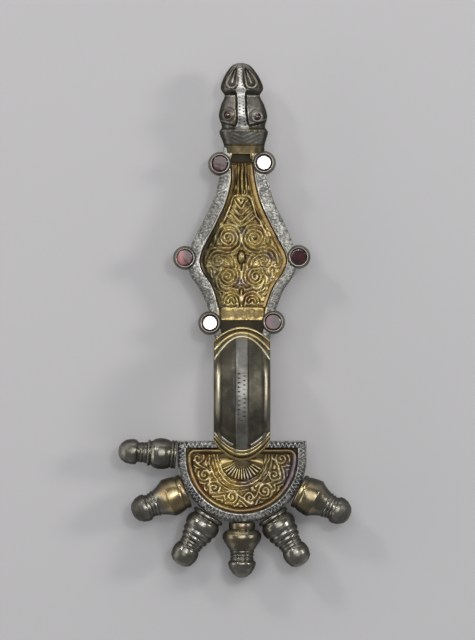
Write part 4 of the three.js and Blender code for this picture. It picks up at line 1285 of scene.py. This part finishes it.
def makeKnobMaterial():
    look = knobLook
    material, tree, shader = newMaterial("tarnishedKnob")
    aged = placeGroup(tree, agedSurface, {"Blotch Scale": look["blotchScale"], "Pit Scale": look["pitScale"]})
    blotch = aged.outputs["Blotch"]
    hollow = markOf(tree, "hollow")
    darkened = markOf(tree, "dark")
    silver = mixColour(tree, blotch, look["grey"], look["brownGrey"])
    silver = mixColour(tree, times(tree, aged.outputs["Pits"], 0.3), silver, look["pit"])
    gilding = times(tree, markOf(tree, "gild"), ramp(tree, blotch, 1.3, 0.2))
    gold = mixColour(tree, ramp(tree, markOf(tree, "tint"), -0.4, 0.6), look["gold"], look["redGold"])
    metal = mixColour(tree, gilding, silver, gold)
    metal = mixColour(tree, darkened, metal, look["shadow"])
    # painted shade in the grooves and a painted highlight on the ridges
    metal = mixColour(tree, times(tree, ramp(tree, hollow, 0.05, 0.7), 0.75), metal, look["groove"])
    metal = mixColour(tree, times(tree, ramp(tree, hollow, -0.3, -0.9), 0.25), metal, look["crest"])
    tree.links.new(metal, shader.inputs["Base Color"])
    rough = plus(tree, times(tree, aged.outputs["Fine"], 0.16), look["baseRoughness"])
    rough = plus(tree, rough, times(tree, darkened, 0.25))
    tree.links.new(rough, shader.inputs["Roughness"])
    tree.links.new(minus(tree, 0.97, times(tree, darkened, 0.75)), shader.inputs["Metallic"])
    shader.inputs["Specular IOR Level"].default_value = look["specular"]
    addRelief(tree, shader, aged.outputs["Height"], look["bumpStrength"], look["bumpDistance"])
    return material


garnetLook = {
    "red": (0.078, 0.012, 0.017), "deepRed": (0.020, 0.004, 0.005), "reflectionPink": (0.50, 0.19, 0.19),
    "index": 1.78, "coat": 0.4, "baseRoughness": 0.05,
}


def makeGarnetMaterial():
    look = garnetLook
    material, tree, shader = newMaterial("garnetStone")
    place = objectPlace(tree)
    cloud = noise(tree, place, 480.0, 3.0, 0.5)
    red = mixColour(tree, ramp(tree, cloud, 0.35, 0.7), look["red"], look["deepRed"])
    # a painted reflection: pale pink over one side of some stones
    red = mixColour(tree, markOf(tree, "tint"), red, look["reflectionPink"])
    tree.links.new(red, shader.inputs["Base Color"])
    rough = plus(tree, times(tree, cloud, 0.08), look["baseRoughness"])
    tree.links.new(rough, shader.inputs["Roughness"])
    shader.inputs["IOR"].default_value = look["index"]
    shader.inputs["Coat Weight"].default_value = look["coat"]
    addRelief(tree, shader, noise(tree, place, 900.0, 2.0, 0.5), 0.25, 0.00008)
    return material


ironLook = {
    "iron": (0.16, 0.13, 0.11), "rust": (0.12, 0.055, 0.028), "pit": (0.03, 0.02, 0.015),
    "blotchScale": 420.0, "pitScale": 2200.0, "baseRoughness": 0.42,
}


def makeIronMaterial():
    look = ironLook
    material, tree, shader = newMaterial("oldIron")
    aged = placeGroup(tree, agedSurface, {"Blotch Scale": look["blotchScale"], "Pit Scale": look["pitScale"]})
    blotch = aged.outputs["Blotch"]
    iron = mixColour(tree, blotch, look["iron"], look["rust"])
    iron = mixColour(tree, times(tree, aged.outputs["Pits"], 0.7), iron, look["pit"])
    tree.links.new(iron, shader.inputs["Base Color"])
    rough = plus(tree, times(tree, blotch, 0.3), look["baseRoughness"])
    tree.links.new(rough, shader.inputs["Roughness"])
    tree.links.new(minus(tree, 0.85, times(tree, blotch, 0.6)), shader.inputs["Metallic"])
    addRelief(tree, shader, aged.outputs["Height"], 0.7, 0.00015)
    return material


gildedCasting = makeCastingMaterial()
tarnishedKnob = makeKnobMaterial()
garnetStone = makeGarnetMaterial()
oldIron = makeIronMaterial()
print("materials ready")

castingShells = (headPlateShells() + footPlateShells() + bowShells() + animalHeadShells() + settingShells()
                 + fittingShells())
pieceFrom("casting", castingShells, gildedCasting, ["brooch_casting"], "brooch")
print("casting ready")


# knobs: turned profiles of radius and height, set round the head plate
knobs = {
    "profiles": {
        "wide": [
            (0, 0), (4.9, 0), (5.1, 0.4), (5.1, 1.1), (4.8, 1.45), (5.15, 1.9), (5.4, 3.0), (5.6, 4.4),
            (5.65, 5.5), (5.3, 5.95), (4.8, 6.7), (4.25, 7.8), (3.85, 8.8), (3.6, 9.1), (3.95, 9.6),
            (3.4, 10.1), (3.7, 10.6), (3.2, 11.0), (3.55, 11.4), (3.4, 11.7), (3.95, 12.1), (4.05, 13),
            (3.7, 14.6), (2.6, 16.1), (1.3, 16.8), (0, 16.9),
        ],
        "slender": [
            (0, 0), (4.7, 0), (4.8, 0.8), (4.1, 1.15), (4.3, 1.6), (4.9, 2.3), (5.15, 3.5), (5.0, 4.8),
            (4.4, 5.5), (4.6, 6.2), (4.45, 6.9), (3.85, 7.3), (4.05, 7.9), (3.9, 8.5), (3.35, 8.9),
            (3.55, 9.5), (3.2, 9.9), (3.45, 10.4), (3.15, 10.9), (3.6, 11.5), (3.9, 12.7), (3.85, 14.0),
            (3.3, 15.6), (2.2, 16.5), (1, 16.9), (0, 17),
        ],
        "ringed": [
            (0, 0), (4.2, 0), (4.2, 0.5), (3.8, 0.7), (4.2, 0.95), (4.2, 1.4), (3.7, 1.6), (4.1, 2.2),
            (4.5, 3.4), (4.55, 5), (4.2, 6.4), (3.5, 7.3), (3.5, 7.6), (3.9, 7.9), (3.8, 8.3), (3, 8.6),
            (3.1, 9.2), (2.8, 9.5), (3.1, 10.1), (2.8, 10.6), (2.9, 11.3), (3.4, 11.6), (3.65, 11.9),
            (3.7, 13), (3.4, 14.7), (2.5, 16), (1.2, 16.8), (0, 16.95),
        ],
        "central": [
            (0, 0), (3.8, 0), (3.9, 0.9), (3.8, 1.8), (3.6, 2), (4.9, 2.4), (5.6, 3.4), (5.7, 4.4),
            (5.2, 5.6), (4.4, 6.7), (3.9, 7.6), (3.5, 8), (3.6, 8.6), (3.2, 9), (3.6, 9.5), (3.2, 10),
            (3.5, 10.5), (3.3, 10.9), (4, 11.4), (4.1, 12), (3.7, 13.3), (2.7, 14.8), (1.5, 15.8),
            (0.6, 16.1), (0, 16.15),
        ],
    },
    # profile, where the knob sits, which way it points, and how much gilding is left
    "places": {
        "knob_1": {"kind": "ringed", "seat": (-18.8, 0.9), "points": 176, "gilded": 0.0},
        "knob_2": {"kind": "wide", "seat": (-16.3, -9.5), "points": 203, "gilded": 0.75},
        "knob_3": {"kind": "slender", "seat": (-9.6, -16.6), "points": 238, "gilded": 0.0},
        "knob_4": {"kind": "central", "seat": (0, -18.8), "points": 270, "gilded": 0.5},
        "knob_5": {"kind": "slender", "seat": (8.75, -16.7), "points": 302.4, "gilded": 0.0},
        "knob_6": {"kind": "wide", "seat": (16.3, -9.5), "points": 333.4, "gilded": 0.65},
    },
    "gap": 0.06, "sides": 60, "spacing": 0.16,
    # painted shade on the knobs' sides, away from their tops, and darkening towards each tip
    "sideShade": 0.92, "tipFrom": 11.8, "tipTo": 14.8,
    "tipDarkening": {"wide": 0.7, "slender": 0.3, "ringed": 0.3, "central": 0.3},
}


def plateReach(wayX, wayY):
    # how far the head plate's outline reaches in a direction
    radius = headPlate["radius"]
    reach = -1e9
    for i in range(361):
        a = math.pi + math.pi * i / 360
        reach = max(reach, radius * (math.cos(a) * wayX + math.sin(a) * wayY))
    for x in (-radius, radius):
        reach = max(reach, x * wayX + headPlate["shoulder"] * wayY)
    return reach


def makeKnob(name, data, seed):
    angle = math.radians(data["points"])
    wayX, wayY = math.cos(angle), math.sin(angle)
    seatX, seatY = data["seat"]
    lift = max(plateReach(wayX, wayY) + knobs["gap"] - (seatX * wayX + seatY * wayY), 0)
    profile = smoothTurned(knobs["profiles"][data["kind"]], knobs["spacing"])
    local, faces = lathe(profile, knobs["sides"], 0.004, seed, 4.0)
    acrossKnob, upKnob, along = local[..., 0], local[..., 1], local[..., 2]
    radius = profile[:, 0]
    # grooves (above 0) and ridges (below 0), which the material paints with shade and highlight
    around = np.convolve(np.pad(radius, 5, mode="edge"), np.ones(11) / 11, "valid")
    hollow = np.clip((around - radius) / 0.35, -1, 1)[:, None] + 0 * along
    gild = data["gilded"] * rise(9.0, 6.0, along + 0.6 * unevenness(acrossKnob, upKnob + along, 4, seed + 3))
    # the lathe's axis turns from Z to the way the knob points
    x = seatX + wayX * (lift + along) - wayY * acrossKnob
    y = seatY + wayY * (lift + along) + wayX * acrossKnob
    z = plate["top"] / 2 + upKnob
    upward = upKnob / np.maximum(np.hypot(acrossKnob, upKnob), 0.3)
    wandering = 0.05 * unevenness(along, acrossKnob, 3, seed + 5)
    # painted shade: the sides that turn away from the top are darkened; each tip is darker too
    dark = knobs["sideShade"] * rise(0.93, 0.5, upward + wandering)
    tip = knobs["tipDarkening"][data["kind"]] * rise(knobs["tipFrom"], knobs["tipTo"], along)
    tint = unevenness(along, acrossKnob, 5, seed + 6) + 0.5 * rise(3.0, 0.0, along)
    body = shell(np.stack([x, y, z], -1), faces, gild=gild, hollow=hollow, dark=np.maximum(dark, tip),
                 tint=tint)
    pieceFrom(name + "_turned", [body], tarnishedKnob, [name], "brooch", 60)


for i, (name, data) in enumerate(knobs["places"].items()):
    makeKnob(name, data, 200 + 7 * i)
print("knobs ready")


# garnets: thin plates of stone, each lying a little differently in its setting
stones = {
    "tilts": {                                        # degrees across and along
        "neck_left": (-3.0, -6.5), "neck_right": (5.9, 3.2), "side_left": (-3.0, -5.0),
        "side_right": (5.0, -6.5), "bow_left": (6.8, 5.8), "bow_right": (-2.0, 3.0),
    },
    # strength of a painted pink reflection on one side of a stone
    "paintedReflection": {"side_left": 1.0, "bow_right": 0.2},
    "flat": [(0, 0), (2.3, 0), (2.34, 0.5), (2.32, 0.8), (2.2, 0.93), (0, 0.95)],
    "flatSeat": 2.9, "flatSides": 48,
    "eye": [(0, 0), (0.93, 0), (0.93, 0.5), (0.8, 0.85), (0.45, 1.05), (0, 1.1)],
    "eyeSeat": 5.35, "eyeSides": 32,
}


def makeStone(name, centre, profile, sides, tilt, node, paintedReflection=0.0):
    local, faces = lathe(smoothTurned(profile, 0.14), sides)
    slopeX = math.tan(math.radians(tilt[0]))
    slopeY = math.tan(math.radians(tilt[1]))
    upper = rise(profile[0][1], profile[-1][1], local[..., 2])
    local[..., 2] -= upper * (local[..., 0] * slopeX + local[..., 1] * slopeY)
    # painted reflection, strongest towards one side
    tint = paintedReflection * rise(0.8, -1.4, local[..., 0])
    body = shell(local + np.array(centre), faces, tint=tint)
    pieceFrom(name, [body], garnetStone, [node], "brooch", 70)


for name, (x, y) in setting["places"].items():
    makeStone(f"stone_{name}", (x, y, stones["flatSeat"]), stones["flat"], stones["flatSides"],
              stones["tilts"][name], f"garnet_{name}", stones["paintedReflection"].get(name, 0.0))
for name, (x, y) in animalHead["eyes"].items():
    makeStone(f"stone_eye_{name}", (x, y, stones["eyeSeat"]), stones["eye"], stones["eyeSides"], (0, 0),
              f"eye_{name}")
print("stones ready")


# the wire spring round its axle, and the pin
spring = {
    "y": -2.0, "z": -5.6,                             # where the axle runs
    "wireRadius": 1.08, "coilRadius": 2.12, "turns": 3, "inner": 1.8,
    # the wire that joins both halves in front of the coil
    "chord": [
        (-4, -4.2, -6.2), (-3.4, -5.2, -5.8), (-1.5, -5.45, -5.6), (1.5, -5.45, -5.6), (3.4, -5.2, -5.8),
        (4, -4.2, -6.2),
    ],
    "chordRadius": 0.55, "sides": 12,
}


def makeSpring():
    shells = []
    turns = spring["turns"]
    wire = spring["wireRadius"]
    for sign in (-1, 1):
        t = np.linspace(0, turns, 40 * turns)
        x = sign * (spring["inner"] + wire + 2 * wire * t * (turns - 1) / turns)
        a = 2 * np.pi * t + math.pi / 2
        path = np.stack([x, spring["y"] + spring["coilRadius"] * np.cos(a),
                         spring["z"] + spring["coilRadius"] * np.sin(a)], -1)
        shells.append(shell(*tube(path, wire, spring["sides"])))
    shells.append(shell(*tube(flowing(spring["chord"], 6), spring["chordRadius"], spring["sides"])))
    pieceFrom("spring_wire", shells, oldIron, ["spring_coil"], "brooch", 60)


axle = {
    "profile": [                                      # rod with a small head at both ends
        (0, -11.1), (1.2, -11.05), (1.6, -10.8), (1.68, -10.5), (1.5, -10.32), (0.98, -10.28), (0.98, 10.28),
        (1.5, 10.32), (1.68, 10.5), (1.6, 10.8), (1.2, 11.05), (0, 11.1),
    ],
    "spacing": 0.3, "sides": 28, "seed": 301,
}


def makeAxle():
    local, faces = lathe(smoothTurned(axle["profile"], axle["spacing"]), axle["sides"], 0.01, axle["seed"])
    points = np.stack([local[..., 2], spring["y"] + local[..., 0], spring["z"] + local[..., 1]], -1)
    pieceFrom("axle_rod", [shell(points, faces)], oldIron, ["spring_axle"], "brooch", 60)


pin = {
    "eyeOuter": 2.5, "eyeInner": 1.35, "eyeHalf": 0.8, "eyeSides": 48,
    "shankFrom": 1.8, "point": 78.5, "sink": 1.5,     # the shank sinks away from the plates to its catch
    "shares": [0, 0.03, 0.1, 0.6, 0.93, 1], "radii": [0.85, 0.9, 0.85, 0.78, 0.5, 0.1],
}


def makePin():
    # a flattened eye round the axle, then a long shank that tapers to its point
    outer = pin["eyeOuter"]
    inner = pin["eyeInner"]
    half = pin["eyeHalf"]
    section = [(inner, -half + 0.12), (inner + 0.15, -half), (outer - 0.3, -half), (outer, -half + 0.3),
               (outer, half - 0.3), (outer - 0.3, half), (inner + 0.15, half), (inner, half - 0.12)]
    count = pin["eyeSides"]
    n = len(section)
    points = []
    for a in np.linspace(0, 2 * np.pi, count, endpoint=False):
        for r, across in section:
            points.append((across, spring["y"] + r * math.cos(a), spring["z"] + r * math.sin(a)))
    faces = []
    for i in range(count):
        k = ((i + 1) % count) * n
        for j in range(n):
            faces.append((i * n + j, i * n + (j + 1) % n, k + (j + 1) % n, k + j))
    s = np.linspace(0, 1, 60)
    y = spring["y"] + pin["shankFrom"] + (pin["point"] - pin["shankFrom"] - spring["y"]) * s
    z = spring["z"] - pin["sink"] * s**1.6
    shank = tube(np.stack([0 * s, y, z], -1), np.interp(s, pin["shares"], pin["radii"]), 16)
    pieceFrom("pin_wire", [shell(points, faces), shell(*shank)], oldIron, ["pin"], "pin", 60)


makeSpring()
makeAxle()
makePin()
print("spring and pin ready")


# grey ground, lights and view
ground = {
    "light": (0.72, 0.715, 0.73), "dull": (0.69, 0.685, 0.70), "roughness": 0.92, "half": 3.0,
    "height": -9.0 * mm - 0.0002,                     # just below the lugs and the catch
}


def makeGround():
    material, tree, shader = newMaterial("paperGrey")
    cloud = noise(tree, objectPlace(tree), 6.0, 3.0, 0.5)
    tree.links.new(mixColour(tree, cloud, ground["dull"], ground["light"]), shader.inputs["Base Color"])
    shader.inputs["Roughness"].default_value = ground["roughness"]
    mesh = bpy.data.meshes.new("floor")
    half = ground["half"]
    z = ground["height"]
    corners = [(-half, -half, z), (half, -half, z), (half, half, z), (-half, half, z)]
    mesh.from_pydata(corners, [], [(0, 1, 2, 3)])
    mesh.materials.append(material)
    floor = bpy.data.objects.new("floor", mesh)
    bpy.context.scene.collection.objects.link(floor)


lights = {
    "aim": (0.0, 0.04, 0.0),
    # place, width, power, colour, and depth where it isn't round
    "lamps": {
        "overheadPanel": ((0.0, 0.27, 1.12), 0.92, 3.4, (1, 1, 1), None),
        "keyLamp": ((0.78, 0.22, 0.52), 0.20, 1.7, (1.0, 0.98, 0.95), None),
        "fillLamp": ((-0.52, 0.60, 0.60), 0.16, 1.0, (1.0, 0.99, 0.97), None),
        "smallLamp": ((0.22, 0.24, 0.98), 0.10, 0.9, (1, 1, 1), None),
        "leftCard": ((-0.62, 0.05, 0.16), 0.7, 0.9, (1.0, 0.97, 0.92), 0.30),
        "topCard": ((0.0, 0.80, 0.25), 0.9, 0.9, (1.0, 0.98, 0.95), 0.30),
    },
    "room": (0.62, 0.61, 0.63), "roomStrength": 0.27,
}


def makeLamp(name, place, width, power, colour, depth):
    data = bpy.data.lights.new(name, "AREA")
    data.shape = "RECTANGLE" if depth else "DISK"
    data.size = width
    if depth:
        data.size_y = depth
    data.energy = power
    data.color = colour
    lamp = bpy.data.objects.new(name, data)
    bpy.context.scene.collection.objects.link(lamp)
    lamp.location = place
    way = np.array(lights["aim"]) - np.array(place)
    lamp.rotation_euler = Vector(way).to_track_quat("-Z", "Y").to_euler()


makeGround()
for name, settings in lights["lamps"].items():
    makeLamp(name, *settings)
world = bpy.data.worlds.new("room")
bpy.context.scene.world = world
world.use_nodes = True
background = world.node_tree.nodes["Background"]
background.inputs["Color"].default_value = (*lights["room"], 1)
background.inputs["Strength"].default_value = lights["roomStrength"]

view = {"lens": 193, "sensor": 36, "place": (-0.0013, 0.0402, 1.002), "clipEnd": 10}
cameraData = bpy.data.cameras.new("camera")
cameraData.lens = view["lens"]
cameraData.sensor_width = view["sensor"]
cameraData.sensor_fit = "AUTO"
cameraData.clip_end = view["clipEnd"]
camera = bpy.data.objects.new("camera", cameraData)
camera.location = view["place"]
camera.rotation_euler = (0, 0, 0)
bpy.context.scene.collection.objects.link(camera)
bpy.context.scene.camera = camera
bpy.context.scene.view_settings.view_transform = "Standard"
bpy.context.scene.view_settings.look = "None"
print("ground, lights and view ready")
